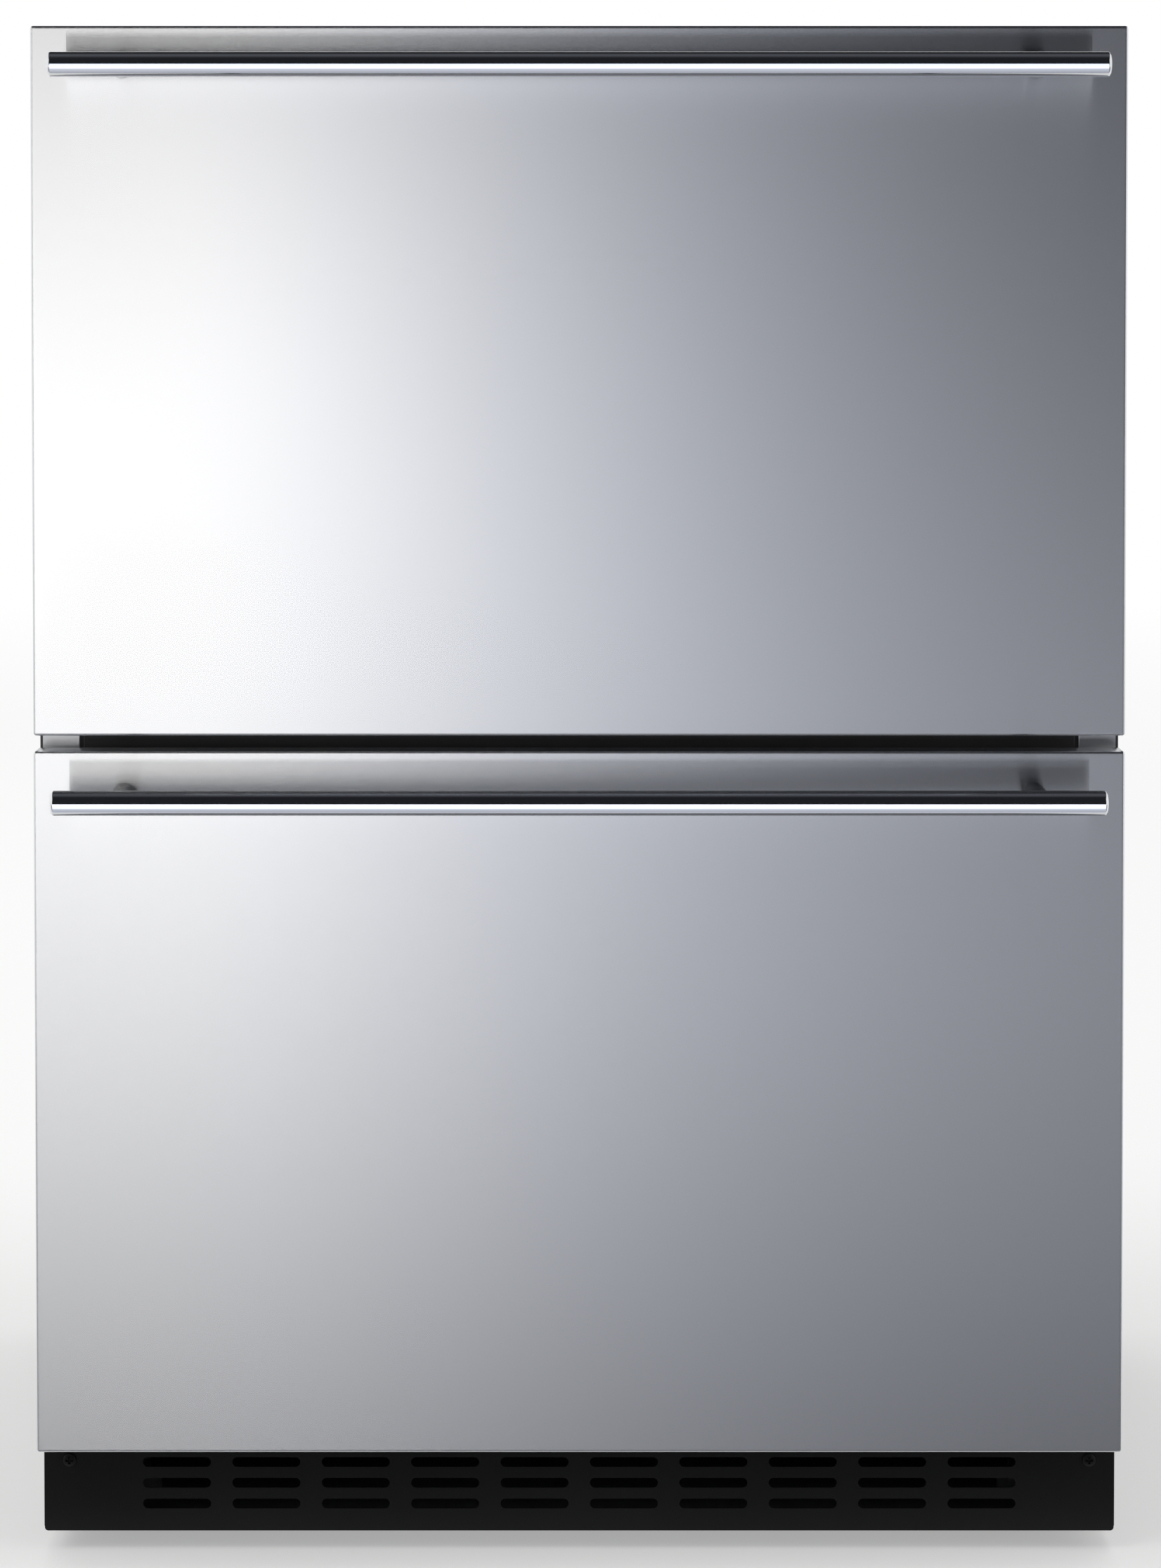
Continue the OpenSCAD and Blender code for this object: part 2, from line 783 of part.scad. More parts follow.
module evaporator_motor() {
    color("#e0e2e3") difference() {
        union() {
            rod_y(0, air_motor_y, liner_back - air_bracket_t, air_fan_z, air_motor_d);
            box(-air_bracket_half, air_bracket_half, liner_back - air_bracket_t, liner_back,
                air_fan_z - air_bracket_rise, air_fan_z + air_bracket_rise);
        }
        rod_y(0, air_motor_y - cut, air_shaft_y + 2, air_fan_z, shaft_d + 2 * shaft_gap);
    }
}

module evaporator_fan() {
    color("#f4f4f2") translate([0, air_fan_y, air_fan_z]) rotate([-90, 0, 0]) {
        rotor(air_fan_d, 34, 16, 5);
        cylinder(d = shaft_d, h = air_shaft_y - air_fan_y);
    }
}

module control_box() {
    wide = 44;
    deep = 136;
    high = 100;
    wall = 2;
    translate([inner_half - wide, machine_y + 14, machine_z - high - 24]) {
        color("#e3e4e2") difference() {
            cube([wide, deep, high]);
            translate([wall, wall, wall]) cube([wide - 2 * wall, deep - 2 * wall, high]);
        }
        color("#2f6b3c") translate([wall, wall, 3 * wall])
            cube([wide - 2 * wall, deep - 2 * wall, wall]);
        color("#e3e4e2") translate([0, 0, high]) cube([wide, deep, wall]);
    }
}

module button_place(side) {
    translate([side * 34, console_y, ceiling_z - console_h / 2]) children();
}

module control_panel() {
    color("#d9dbdc") difference() {
        box(-console_w / 2, console_w / 2, console_y, console_y + console_d, ceiling_z - console_h,
            ceiling_z);
        for (side = [-1, 1]) {
            button_place(side) box(-button_w / 2 - rub_gap, button_w / 2 + rub_gap, -cut, 10,
                -button_h / 2 - rub_gap, button_h / 2 + rub_gap);
        }
        box(-16, 16, console_y - cut, console_y + 1.2, ceiling_z - 18, ceiling_z - 6);
    }
    color("#15181b") box(-16, 16, console_y, console_y + 1.2, ceiling_z - 18, ceiling_z - 6);
}

module button(side) {
    color("#f4f5f5") button_place(side) box(-button_w / 2, button_w / 2, -button_proud,
        10 - button_travel - rub_gap, -button_h / 2, button_h / 2);
}

module colder_button() {
    button(-1);
}

module warmer_button() {
    button(1);
}

module lamp_lens() {
    color("#f8fbff") translate([0, console_y + 60, ceiling_z - 7]) linear_extrude(7)
        rounded_plate(90, 34, 8);
}

sensor_x = half_in - 70;
sensor_z = ceiling_z - 200;

module temperature_sensor() {
    color("#dfe1e2") {
        translate([sensor_x, cover_y - 5, sensor_z]) cylinder(d = 8, h = 34);
        box(sensor_x - 4, sensor_x + 4, cover_y - 5, cover_y, sensor_z + 12, sensor_z + 22);
    }
}

module power_inlet() {
    y_face = rear_y - sheet_t + cover_t;
    color("#161718") {
        difference() {
            union() {
                box(inlet_x - inlet_w / 2 + hole_gap, inlet_x + inlet_w / 2 - hole_gap, y_face - 26,
                    y_face + 1, inlet_z - inlet_h / 2 + hole_gap, inlet_z + inlet_h / 2 - hole_gap);
                box(inlet_x - inlet_w / 2 - 6, inlet_x + inlet_w / 2 + 6, y_face, y_face + 2.5,
                    inlet_z - inlet_h / 2 - 3, inlet_z + inlet_h / 2 + 3);
            }
            box(inlet_x - 13, inlet_x + 13, y_face - 18, y_face + 4, inlet_z - 9, inlet_z + 9);
        }
    }
    color("#c9b06a") for (x = [-7, 0, 7]) {
        box(inlet_x + x - 1, inlet_x + x + 1, y_face - 18, y_face - 4,
            inlet_z - 2 + (x == 0 ? 3 : 0), inlet_z + 2 + (x == 0 ? 3 : 0));
    }
}

// One slide member seen from its end: a web with two legs. u runs from the wall to the drawer
module member(web_u, leg_u0, leg_u1, half_h) {
    translate([web_u, -half_h]) square([member_t, 2 * half_h]);
    translate([leg_u0, half_h - member_t]) square([leg_u1 - leg_u0, member_t]);
    translate([leg_u0, -half_h]) square([leg_u1 - leg_u0, member_t]);
}

// A member on both walls, at height z, from y over its length
module slide_pair(z, y, len) {
    both_sides() translate([half_in, y + len, z]) rotate([90, 0, 0]) mirror([1, 0, 0])
        linear_extrude(len) children();
}

upper_slide_z = upper_rim_z - slide_drop;
lower_slide_z = lower_rim_z - slide_drop;

module outer_member() {
    member(0, 0, slide_t - 4, slide_h / 2);
}

module middle_member() {
    member(member_step, member_step, slide_t - member_step, slide_h / 2 - member_step);
}

module inner_member() {
    member(slide_t - member_t, 2 * member_step, slide_t, slide_h / 2 - 2 * member_step);
}

module cabinet_slides() {
    color("#a9adb1") {
        slide_pair(upper_slide_z, slide_front, slide_len) outer_member();
        slide_pair(lower_slide_z, slide_front, slide_len) outer_member();
    }
}

module upper_middle_slides() {
    color("#b3b7bb") slide_pair(upper_slide_z, slide_front, slide_len - middle_short) middle_member();
}

module lower_middle_slides() {
    color("#b3b7bb") slide_pair(lower_slide_z, slide_front, slide_len - middle_short) middle_member();
}

module foot(x, y) {
    color("#1b1c1d") translate([x, y, 0]) {
        cylinder(d = foot_d, h = foot_h);
        cylinder(d = foot_d - 14, h = foot_h + 2);
        cylinder(d = stem_d, h = stem_len);
    }
}

module front_left_foot() {
    foot(-foot_x, foot_front_y);
}

module front_right_foot() {
    foot(foot_x, foot_front_y);
}

module rear_left_foot() {
    foot(-foot_x, foot_rear_y);
}

module rear_right_foot() {
    foot(foot_x, foot_rear_y);
}

// The drawers' pieces, each standing at the height of its drawer front's lower edge
module front_skin(z) {
    color("#c4c6c9") difference() {
        upright(face_y, front_t) translate([0, z]) rounded_plate(front_w, front_h, corner_r);
        box(-front_w / 2 + skin_t, front_w / 2 - skin_t, face_y + skin_t, panel_y + cut, z + skin_t,
            z + front_h - skin_t);
        post_places(z) rod_y(0, -cut, 10, 0, post_screw_d + 2 * hole_gap);
    }
}

module post_places(z) {
    for (x = [-1, 1]) {
        translate([x * post_spacing / 2, face_y, z + front_h - bar_drop]) children();
    }
}

module plug_shape(z0, z1, grow) {
    translate([0, z0 + plug_margin - grow]) rounded_plate(2 * (half_in - plug_margin + grow),
        z1 - z0 - 2 * plug_margin + 2 * grow, 8 + grow);
}

module inner_panel(z, z0, z1) {
    color("#f0f1f2") difference() {
        union() {
            box(-front_w / 2 + skin_t, front_w / 2 - skin_t, panel_y - panel_t, panel_y, z + skin_t,
                z + front_h - skin_t);
            upright(panel_y - panel_t, plug_t + panel_t) plug_shape(z0, z1, 0);
        }
        upright(panel_y - panel_t - cut, plug_t + cut) plug_shape(z0, z1, -panel_t);
    }
}

module front_foam(z, z0, z1) {
    color("#e7d9a6") difference() {
        union() {
            box(-front_w / 2 + skin_t, front_w / 2 - skin_t, face_y + skin_t, panel_y - panel_t,
                z + skin_t, z + front_h - skin_t);
            upright(panel_y - panel_t - cut, plug_t + cut) plug_shape(z0, z1, -panel_t);
        }
        post_places(z) rod_y(0, 0, skin_t + post_head_h + 2, 0, 2 * post_screw_d + 2 * hole_gap);
    }
}

module gasket(z0, z1) {
    color("#85888c") upright(panel_y, gasket_gap - 0.2) difference() {
        opening(z0, z1, gasket_inset + gasket_w);
        opening(z0, z1, gasket_inset);
    }
}

post_head_h = 4;
post_thread = 16;

module handle_bar(z) {
    bar_z = z + front_h - bar_drop;
    chamfer = 1;
    color("#dfe1e3") translate([-bar_len / 2, face_y - bar_reach, bar_z]) rotate([0, 90, 0]) {
        cylinder(d1 = bar_d - 2 * chamfer, d2 = bar_d, h = chamfer);
        translate([0, 0, chamfer]) cylinder(d = bar_d, h = bar_len - 2 * chamfer);
        translate([0, 0, bar_len - chamfer]) cylinder(d1 = bar_d, d2 = bar_d - 2 * chamfer, h = chamfer);
    }
}

module handle_posts(z) {
    color("#d3d5d8") difference() {
        post_places(z) rod_y(0, -bar_reach, 0, 0, post_d);
        rod_x(-bar_len / 2 - cut, bar_len / 2 + cut, face_y - bar_reach, z + front_h - bar_drop, bar_d);
        post_places(z) rod_y(0, -post_thread - 2, cut, 0, post_screw_d + 2 * hole_gap);
    }
}

module handle_screws(z) {
    color("#9a9c9e") post_places(z) {
        rod_y(0, skin_t, skin_t + post_head_h, 0, 2 * post_screw_d);
        rod_y(0, -post_thread, skin_t + post_head_h / 2, 0, post_screw_d);
    }
}

module side_frames(rim_z, z0) {
    low = max(z0 + plug_margin + 10, rim_z - side_frame_drop);
    color("#aeb2b6") both_sides() {
        box(frame_in - rail_t, frame_in, plug_y, slide_back, rim_z - side_frame_h, rim_z);
        box(frame_in - ledge_w, frame_in, plug_y, slide_back, rim_z - rail_t, rim_z);
        box(frame_in - side_frame_flange, frame_in, plug_y, plug_y + rail_t, low, rim_z);
    }
}

module runners(slide_z) {
    color("#bcc0c4") slide_pair(slide_z, slide_front, slide_len) inner_member();
}

module bin(z, h, len) {
    rim_t = 3;
    end_lip = 4;
    color("#e9eef2") difference() {
        union() {
            translate([0, bin_front, z]) linear_extrude(h) rounded_plate(2 * bin_half, len, bin_r);
            translate([0, bin_front - end_lip, z + h]) linear_extrude(rim_t)
                rounded_plate(2 * (bin_half + bin_rim), len + 2 * end_lip, bin_r + end_lip);
        }
        translate([0, bin_front + bin_wall, z + bin_wall]) linear_extrude(h + rim_t)
            rounded_plate(2 * (bin_half - bin_wall), len - 2 * bin_wall, bin_r - bin_wall);
    }
}

module upper_front_skin() {
    front_skin(upper_z);
}

module upper_front_foam() {
    front_foam(upper_z, mullion_top, ceiling_z);
}

module upper_inner_panel() {
    inner_panel(upper_z, mullion_top, ceiling_z);
}

module upper_gasket() {
    gasket(mullion_top, ceiling_z);
}

module upper_handle_bar() {
    handle_bar(upper_z);
}

module upper_handle_posts() {
    handle_posts(upper_z);
}

module upper_handle_screws() {
    handle_screws(upper_z);
}

module upper_side_frames() {
    side_frames(upper_rim_z, mullion_top);
}

module upper_runners() {
    runners(upper_slide_z);
}

module upper_bin() {
    bin(upper_bin_z, upper_rim_z - upper_bin_z, upper_bin_len);
}

module lower_front_skin() {
    front_skin(lower_z);
}

module lower_front_foam() {
    front_foam(lower_z, floor_z, mullion_bottom);
}

module lower_inner_panel() {
    inner_panel(lower_z, floor_z, mullion_bottom);
}

module lower_gasket() {
    gasket(floor_z, mullion_bottom);
}

module lower_handle_bar() {
    handle_bar(lower_z);
}

module lower_handle_posts() {
    handle_posts(lower_z);
}

module lower_handle_screws() {
    handle_screws(lower_z);
}

module lower_side_frames() {
    side_frames(lower_rim_z, floor_z);
}

module lower_runners() {
    runners(lower_slide_z);
}

module lower_bin() {
    bin(lower_bin_z, lower_rim_z - lower_bin_z, lower_bin_len);
}

outer_wrapper();
stepped_floor();
rear_panel();
base_pan();
front_frame();
mullion_core();
inner_liner();
cabinet_foam();
kick_plate();
machine_cover();
cabinet_screws();
counter_brackets();
compressor();
compressor_mounts();
condenser_coil();
fan_shroud();
condenser_motor();
condenser_fan();
filter_drier();
refrigerant_lines();
drain_pan();
drain_tube();
evaporator_coil();
evaporator_cover();
evaporator_motor();
evaporator_fan();
control_box();
control_panel();
colder_button();
warmer_button();
lamp_lens();
temperature_sensor();
power_inlet();
cabinet_slides();
upper_middle_slides();
lower_middle_slides();
front_left_foot();
front_right_foot();
rear_left_foot();
rear_right_foot();
upper_front_skin();
upper_front_foam();
upper_inner_panel();
upper_gasket();
upper_handle_bar();
upper_handle_posts();
upper_handle_screws();
upper_side_frames();
upper_runners();
upper_bin();
lower_front_skin();
lower_front_foam();
lower_inner_panel();
lower_gasket();
lower_handle_bar();
lower_handle_posts();
lower_handle_screws();
lower_side_frames();
lower_runners();
lower_bin();
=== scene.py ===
import math

import bmesh
import bpy
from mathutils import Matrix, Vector


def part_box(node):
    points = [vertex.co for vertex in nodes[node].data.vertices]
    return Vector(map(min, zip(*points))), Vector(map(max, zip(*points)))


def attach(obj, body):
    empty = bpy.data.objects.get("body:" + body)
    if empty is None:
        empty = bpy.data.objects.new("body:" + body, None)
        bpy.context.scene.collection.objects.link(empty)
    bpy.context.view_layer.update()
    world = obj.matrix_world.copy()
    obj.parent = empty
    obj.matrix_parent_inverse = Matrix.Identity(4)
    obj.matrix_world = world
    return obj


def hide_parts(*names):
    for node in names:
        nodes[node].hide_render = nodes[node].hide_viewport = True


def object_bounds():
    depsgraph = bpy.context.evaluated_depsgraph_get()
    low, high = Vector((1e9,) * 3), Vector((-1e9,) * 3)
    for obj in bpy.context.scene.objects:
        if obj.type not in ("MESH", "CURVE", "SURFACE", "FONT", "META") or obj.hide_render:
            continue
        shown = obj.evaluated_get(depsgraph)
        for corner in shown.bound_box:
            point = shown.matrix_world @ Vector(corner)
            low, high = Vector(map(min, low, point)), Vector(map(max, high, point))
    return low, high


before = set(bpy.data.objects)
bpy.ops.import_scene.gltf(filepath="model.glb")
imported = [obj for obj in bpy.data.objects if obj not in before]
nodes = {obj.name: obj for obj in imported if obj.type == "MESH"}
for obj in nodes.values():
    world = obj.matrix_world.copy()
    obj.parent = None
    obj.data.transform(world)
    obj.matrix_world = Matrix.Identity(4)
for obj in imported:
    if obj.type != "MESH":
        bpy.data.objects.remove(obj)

cadBox = [list(corner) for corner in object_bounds()]
mm = 0.001
sides = ("upper", "lower")
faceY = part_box("upper_front_skin")[0].y
scene = bpy.context.scene
scene.view_settings.view_transform = "Standard"


def spanOf(name):
    low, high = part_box(name)
    return low, high, (low + high) / 2


def addObject(name, data):
    added = bpy.data.objects.new(name, data)
    scene.collection.objects.link(added)
    return added


def setAll(target, **values):
    for key, value in values.items():
        setattr(target, key, value)


# Camera: as far off as the photo's but lower, and shifted to keep the sides upright
cameraSetup = {
    "distance": 2.65, "height": 0.72, "aside": 0.0007, "lens": 111.1, "sensor": 36, "shift": -0.2,
    "clip": (0.05, 60),
    "frameMiddle": 0.4345,  # height in the plane of the fronts at the picture's centre
}


def makeCamera(setup):
    data = bpy.data.cameras.new("studioCamera")
    camera = addObject("studioCamera", data)
    setAll(data, sensor_width=setup["sensor"], lens=setup["lens"], shift_y=setup["shift"],
           clip_start=setup["clip"][0], clip_end=setup["clip"][1])
    camera.location = (setup["aside"], faceY - setup["distance"], setup["height"])
    down = math.atan((setup["height"] - setup["frameMiddle"]) / setup["distance"])
    down += math.atan(setup["shift"] * setup["sensor"] / setup["lens"])
    camera.rotation_euler = (math.pi / 2 - down, 0, 0)
    scene.camera = camera
    return camera


camera = makeCamera(cameraSetup)
print("camera placed")


# Node helpers
def startMaterial(name):
    material = bpy.data.materials.new(name)
    material.use_nodes = True
    material.node_tree.nodes.clear()
    return material, material.node_tree


def isSocket(value):
    return isinstance(value, bpy.types.NodeSocket)


def addNode(tree, kind, settings=None, **inputs):
    # Inputs are values or sockets, by name, or by place as i0, i1 and so on
    family = "" if kind.startswith(("Geometry", "Function", "NodeGroup")) else "ShaderNode"
    node = tree.nodes.new(family + kind)
    setAll(node, **(settings or {}))
    for key, value in inputs.items():
        socket = node.inputs[int(key[1:])] if key[0] == "i" and key[1:].isdigit() else node.inputs[key]
        if isSocket(value):
            tree.links.new(value, socket)
        else:
            socket.default_value = value
    return node


def addOut(*order, **inputs):
    return addNode(*order, **inputs).outputs[0]


def addSocket(tree, name, kind, way="INPUT"):
    tree.interface.new_socket(name, in_out=way, socket_type="NodeSocket" + kind)


# These add their nodes to the tree of the socket that they are given
def maths(operation, first, second=0):
    tree = (first if isSocket(first) else second).id_data
    return addOut(tree, "Math", {"operation": operation}, i0=first, i1=second)


def plus(first, second):
    return maths("ADD", first, second)


def minus(first, second):
    return maths("SUBTRACT", first, second)


def times(first, second):
    return maths("MULTIPLY", first, second)


def over(first, second):
    return maths("DIVIDE", first, second)


def output(shader):
    addNode(shader.id_data, "OutputMaterial", Surface=shader)


def objectPlace(tree):
    return addNode(tree, "TexCoord").outputs["Object"]


def separated(place):
    return addNode(place.id_data, "SeparateXYZ", Vector=place).outputs


def stretched(tree, scale):
    return addOut(tree, "Mapping", Vector=objectPlace(tree), Scale=scale)


def noise(place, scale, detail, **more):
    return addOut(place.id_data, "TexNoise", Vector=place, Scale=scale, Detail=detail, **more)


def between(factor, low, high):
    ramp = addNode(factor.id_data, "ValToRGB", Fac=factor)
    ramp.color_ramp.elements[0].color = (*low, 1)
    ramp.color_ramp.elements[1].color = (*high, 1)
    return ramp.outputs[0]


def varied(factor, colour, spread):
    low = [c * (1 - spread) for c in colour]
    high = [min(c * (1 + spread), 1) for c in colour]
    return between(factor, low, high)


def ranged(factor, low, high, start=0, end=1, smooth=False):
    # From low at start to high at end, and level beyond them
    settings = {"interpolation_type": "SMOOTHSTEP"} if smooth else None
    limits = {"From Min": start, "From Max": end, "To Min": low, "To Max": high}
    return addOut(factor.id_data, "MapRange", settings, Value=factor, **limits)


def roughness(first, second, look):
    half = look["roughSpread"] / 2
    return ranged(times(plus(first, second), 0.5), look["roughness"] - half, look["roughness"] + half)


def surface(height, depth, distance, **inputs):
    tree = height.id_data
    bump = addOut(tree, "Bump", Height=height, Strength=depth, Distance=distance)
    output(addOut(tree, "BsdfPrincipled", Normal=bump, **inputs))


# Finishes: colour, how much it varies, patch size, grain size and depth, roughness and its spread
finishKeys = ("colour", "spread", "patch", "grain", "depth", "roughness", "roughSpread")
finishes = {
    "satinBlackPaint": ((0.0065, 0.0065, 0.0068), 0.25, 14, 1400, 0.05, 0.4, 0.08),
    "frameBlack": ((0.045, 0.045, 0.048), 0.2, 10, 900, 0.06, 0.32, 0.08),
    "linerWhite": ((0.8, 0.81, 0.8), 0.03, 6, 700, 0.04, 0.3, 0.08),
    "whitePlastic": ((0.79, 0.8, 0.8), 0.03, 12, 1500, 0.06, 0.36, 0.08),
    "greyPlastic": ((0.3, 0.31, 0.32), 0.06, 20, 1500, 0.08, 0.42, 0.1),
    "binPlastic": ((0.74, 0.79, 0.82), 0.03, 8, 800, 0.03, 0.22, 0.06),
    "greyGasket": ((0.36, 0.36, 0.37), 0.08, 30, 900, 0.05, 0.55, 0.08),
    "blackRubber": ((0.02, 0.02, 0.02), 0.3, 40, 1800, 0.12, 0.72, 0.1),
    "blackPlastic": ((0.024, 0.024, 0.025), 0.2, 25, 1600, 0.12, 0.45, 0.1),
    "displayGlass": ((0.006, 0.007, 0.009), 0.2, 30, 900, 0.01, 0.12, 0.04),
    "compressorBlack": ((0.016, 0.016, 0.017), 0.3, 20, 500, 0.1, 0.3, 0.1),
    "coilBlack": ((0.02, 0.02, 0.02), 0.3, 20, 900, 0.08, 0.4, 0.12),
    "motorGrey": ((0.25, 0.26, 0.27), 0.08, 25, 1200, 0.08, 0.4, 0.1),
    "foamCream": ((0.71, 0.6, 0.34), 0.12, 9, 420, 0.5, 0.9, 0.05),
    "zincSteel": ((0.5, 0.52, 0.54), 0.05, 170, 260, 0.03, 0.4, 0.12),
    # Zinc darkened for the base pan: painted shade, as it lies in shadow behind the kick plate
    "darkZincPaintedShade": ((0.16, 0.165, 0.17), 0.12, 60, 300, 0.05, 0.62, 0.12),
    "slideSteel": ((0.58, 0.59, 0.6), 0.06, 12, 500, 0.03, 0.3, 0.1),
    "coilAluminium": ((0.76, 0.77, 0.78), 0.06, 18, 600, 0.04, 0.34, 0.1),
    "copperTube": ((0.78, 0.38, 0.22), 0.18, 28, 500, 0.03, 0.26, 0.14),
}
# What some have besides: less gloss, metal, crystals instead of patches, and marks drawn out along Y
finishExtras = {
    "satinBlackPaint": {"specular": 0.22},
    "zincSteel": {"metallic": 0.7, "spangle": True},
    "darkZincPaintedShade": {"metallic": 0.6},
    "slideSteel": {"metallic": 1, "drawn": (1, 0.02, 1)},
    "coilAluminium": {"metallic": 1},
    "copperTube": {"metallic": 1},
}


def moulded(name):
    # Patchy colour and gloss over a fine grain, shared by paints, plastics and plain metals
    look = dict(zip(finishKeys, finishes[name]), **finishExtras.get(name, {}))
    material, tree = startMaterial(name)
    place = stretched(tree, look.get("drawn", (1, 1, 1)))
    if look.get("spangle"):
        cells = addNode(tree, "TexVoronoi", {"feature": "F1"}, Vector=place, Scale=look["patch"])
        patches = addOut(tree, "SeparateColor", Color=cells.outputs["Color"])
    else:
        patches = noise(place, look["patch"], 4)
    grain = noise(place, look["grain"], 3)
    surface(grain, look["depth"], 0.0004, **{
        "Base Color": varied(patches, look["colour"], look["spread"]),
        "Metallic": look.get("metallic", 0),
        "Specular IOR Level": look.get("specular", 0.5),
        "Roughness": roughness(patches, grain, look)})
    return material


# Brushed and polished stainless steel: fine grain along X, gloss drawn out across it. The posts' copy has a
# dark colour, painted shade.
steelLooks = {
    "brushedSteel": dict(colour=(0.775, 0.785, 0.8), spread=0.012, roughness=0.215, roughSpread=0.02,
                         stretch=(0.4, 80, 80), grain=26, depth=0.004, aniso=1),
    "polishedSteel": dict(colour=(0.76, 0.77, 0.785), spread=0.012, roughness=0.09, roughSpread=0.03,
                          stretch=(0.6, 80, 80), grain=30, depth=0.01, aniso=0.2),
    # The posts' steel is darkened in its colour: painted shade for the dark surroundings that they reflect
    "postSteelPaintedShade": dict(colour=(0.15, 0.155, 0.165), spread=0.03, roughness=0.16, roughSpread=0.04,
                      stretch=(80, 0.6, 80), grain=30, depth=0.01, aniso=0.2),
}


def steel(name):
    look = steelLooks[name]
    material, tree = startMaterial(name)
    lines = noise(stretched(tree, look["stretch"]), look["grain"], 5, Roughness=0.65)
    broad = noise(objectPlace(tree), 5, 2)
    along = addOut(tree, "Tangent", {"direction_type": "UV_MAP", "uv_map": "sheet"})
    surface(lines, look["depth"], 0.0002, **{
        "Base Color": varied(lines, look["colour"], look["spread"]),
        "Metallic": 1,
        "Anisotropic": look["aniso"],
        "Anisotropic Rotation": 0.25,
        "Roughness": roughness(lines, broad, look),
        "Tangent": along})
    return material


# The cabinet's painted sheet, bare along its front flange
cabinetPaint = {"paint": (0.03, 0.03, 0.033), "paintSpread": 0.15, "bare": (0.7, 0.71, 0.73),
                "bareSpread": 0.07, "bareDepth": 1.4, "bend": 1.5, "roughness": (0.24, 0.34)}


def cabinetSheet(look):
    material, tree = startMaterial("cabinetSheet")
    low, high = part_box("outer_wrapper")
    place = objectPlace(tree)
    parts = separated(place)
    painted = maths("GREATER_THAN", parts[1], low.y + look["bareDepth"] * mm)
    side = maths("GREATER_THAN", maths("ABSOLUTE", parts[0]), high.x - look["bend"] * mm)
    painted = maths("MAXIMUM", painted, side)
    patches = noise(place, 9, 3)
    colour = addNode(tree, "Mix", {"data_type": "RGBA"}, Factor=painted,
                     i6=varied(patches, look["bare"], look["bareSpread"]),
                     i7=varied(patches, look["paint"], look["paintSpread"]))
    surface(noise(place, 650, 2), 0.05, 0.0003, **{
        "Base Color": colour.outputs[2],
        "Metallic": minus(1, painted),
        "Roughness": ranged(patches, *look["roughness"])})
    return material


def lampGlass():
    material, tree = startMaterial("lampGlass")
    grain = noise(objectPlace(tree), 900, 2)
    surface(grain, 0.1, 0.0003, **{
        "Base Color": between(grain, (0.86, 0.88, 0.88), (0.94, 0.95, 0.95)),
        "Transmission Weight": 0.6,
        "IOR": 1.46,
        "Roughness": ranged(grain, 0.28, 0.45)})
    return material


materials = {name: moulded(name) for name in finishes}
materials.update({name: steel(name) for name in steelLooks})
materials["cabinetSheet"] = cabinetSheet(cabinetPaint)
materials["lampGlass"] = lampGlass()
print("materials made:", len(materials))


# Mesh helpers
def turned(degrees):
    angle = math.radians(degrees)
    return math.cos(angle), math.sin(angle)


def roundedOutline(width, height, radius, steps):
    # Points of a rounded rectangle about the origin, anticlockwise
    points = []
    for cornerX, cornerY, start in ((1, 1, 0), (-1, 1, 90), (-1, -1, 180), (1, -1, 270)):
        for step in range(steps + 1):
            cosine, sine = turned(start + 90 * step / steps)
            points.append((cornerX * (width / 2 - radius) + radius * cosine,
                           cornerY * (height / 2 - radius) + radius * sine))
    return points


# Each of these lays a flat shape's u, v and depth down about a point
def facing(x, y, z):
    return lambda u, v, along: (x + u, y + along, z + v)


def lying(x, y, z):
    return lambda u, v, along: (x + u, y + v, z + along)


def endOn(x, y, z):
    return lambda u, v, along: (x + along, y + u, z + v)


def loft(rings, bm=None, closeEnds=True, around=True):
    # Quads between rings of equally many points
    bm = bmesh.new() if bm is None else bm
    made = [[bm.verts.new(point) for point in ring] for ring in rings]
    count = len(made[0])
    for first, second in zip(made, made[1:]):
        for k in range(count if around else count - 1):
            nextK = (k + 1) % count
            bm.faces.new((first[k], first[nextK], second[nextK], second[k]))
    if closeEnds:
        bm.faces.new(list(reversed(made[0])))
        bm.faces.new(made[-1])
    return bm


def lathe(profile, segments, place, bm=None):
    # Turns (along, radius) pairs about an axis
    turns = [2 * math.pi * k / segments for k in range(segments)]
    rings = [[place(radius * math.cos(turn), radius * math.sin(turn), along) for turn in turns]
             for along, radius in profile]
    return loft(rings, bm)


def outlineRings(width, height, profile, place, steps=6):
    # Rounded rectangles, each grown by (across, up) with its corner radius, at its own depth
    rings = []
    for across, up, radius, along in profile:
        outline = roundedOutline(width + 2 * across, height + 2 * up, radius, steps)
        rings.append([place(u, v, along) for u, v in outline])
    return rings


def frontRings(low, high, y, profile, steps=6):
    # Outlines of a box from the front, with their depths from y
    middle = (low + high) / 2
    return outlineRings(high.x - low.x, high.z - low.z, profile, facing(middle.x, y, middle.z), steps)


def closedRing(width, height, profile, place, steps):
    rings = outlineRings(width, height, profile, place, steps)
    bm = loft(rings + rings[:1], closeEnds=False)
    bmesh.ops.remove_doubles(bm, verts=bm.verts, dist=1e-6)
    return bm


def ovalRings(rows, place, degrees=range(0, 360, 30)):
    # Ovals of two radii, each at its own depth
    return [[place(wide * cosine, high * sine, along) for cosine, sine in map(turned, degrees)]
            for wide, high, along in rows]


def inMillimetres(profile):
    # Rows of three grow across and up alike
    rows = [row if len(row) == 4 else (row[0], *row) for row in profile]
    return [tuple(value * mm for value in row) for row in rows]


def meshPiece(name, bm, sharp=35):
    # Smooth up to the sharp angle. Without one it is an open sheet, smooth all over.
    if sharp:
        bmesh.ops.recalc_face_normals(bm, faces=bm.faces)
    mesh = bpy.data.meshes.new(name)
    bm.to_mesh(mesh)
    bm.free()
    mesh.shade_smooth()
    if sharp:
        mesh.set_sharp_from_angle(angle=math.radians(sharp))
    return addObject(name, mesh)


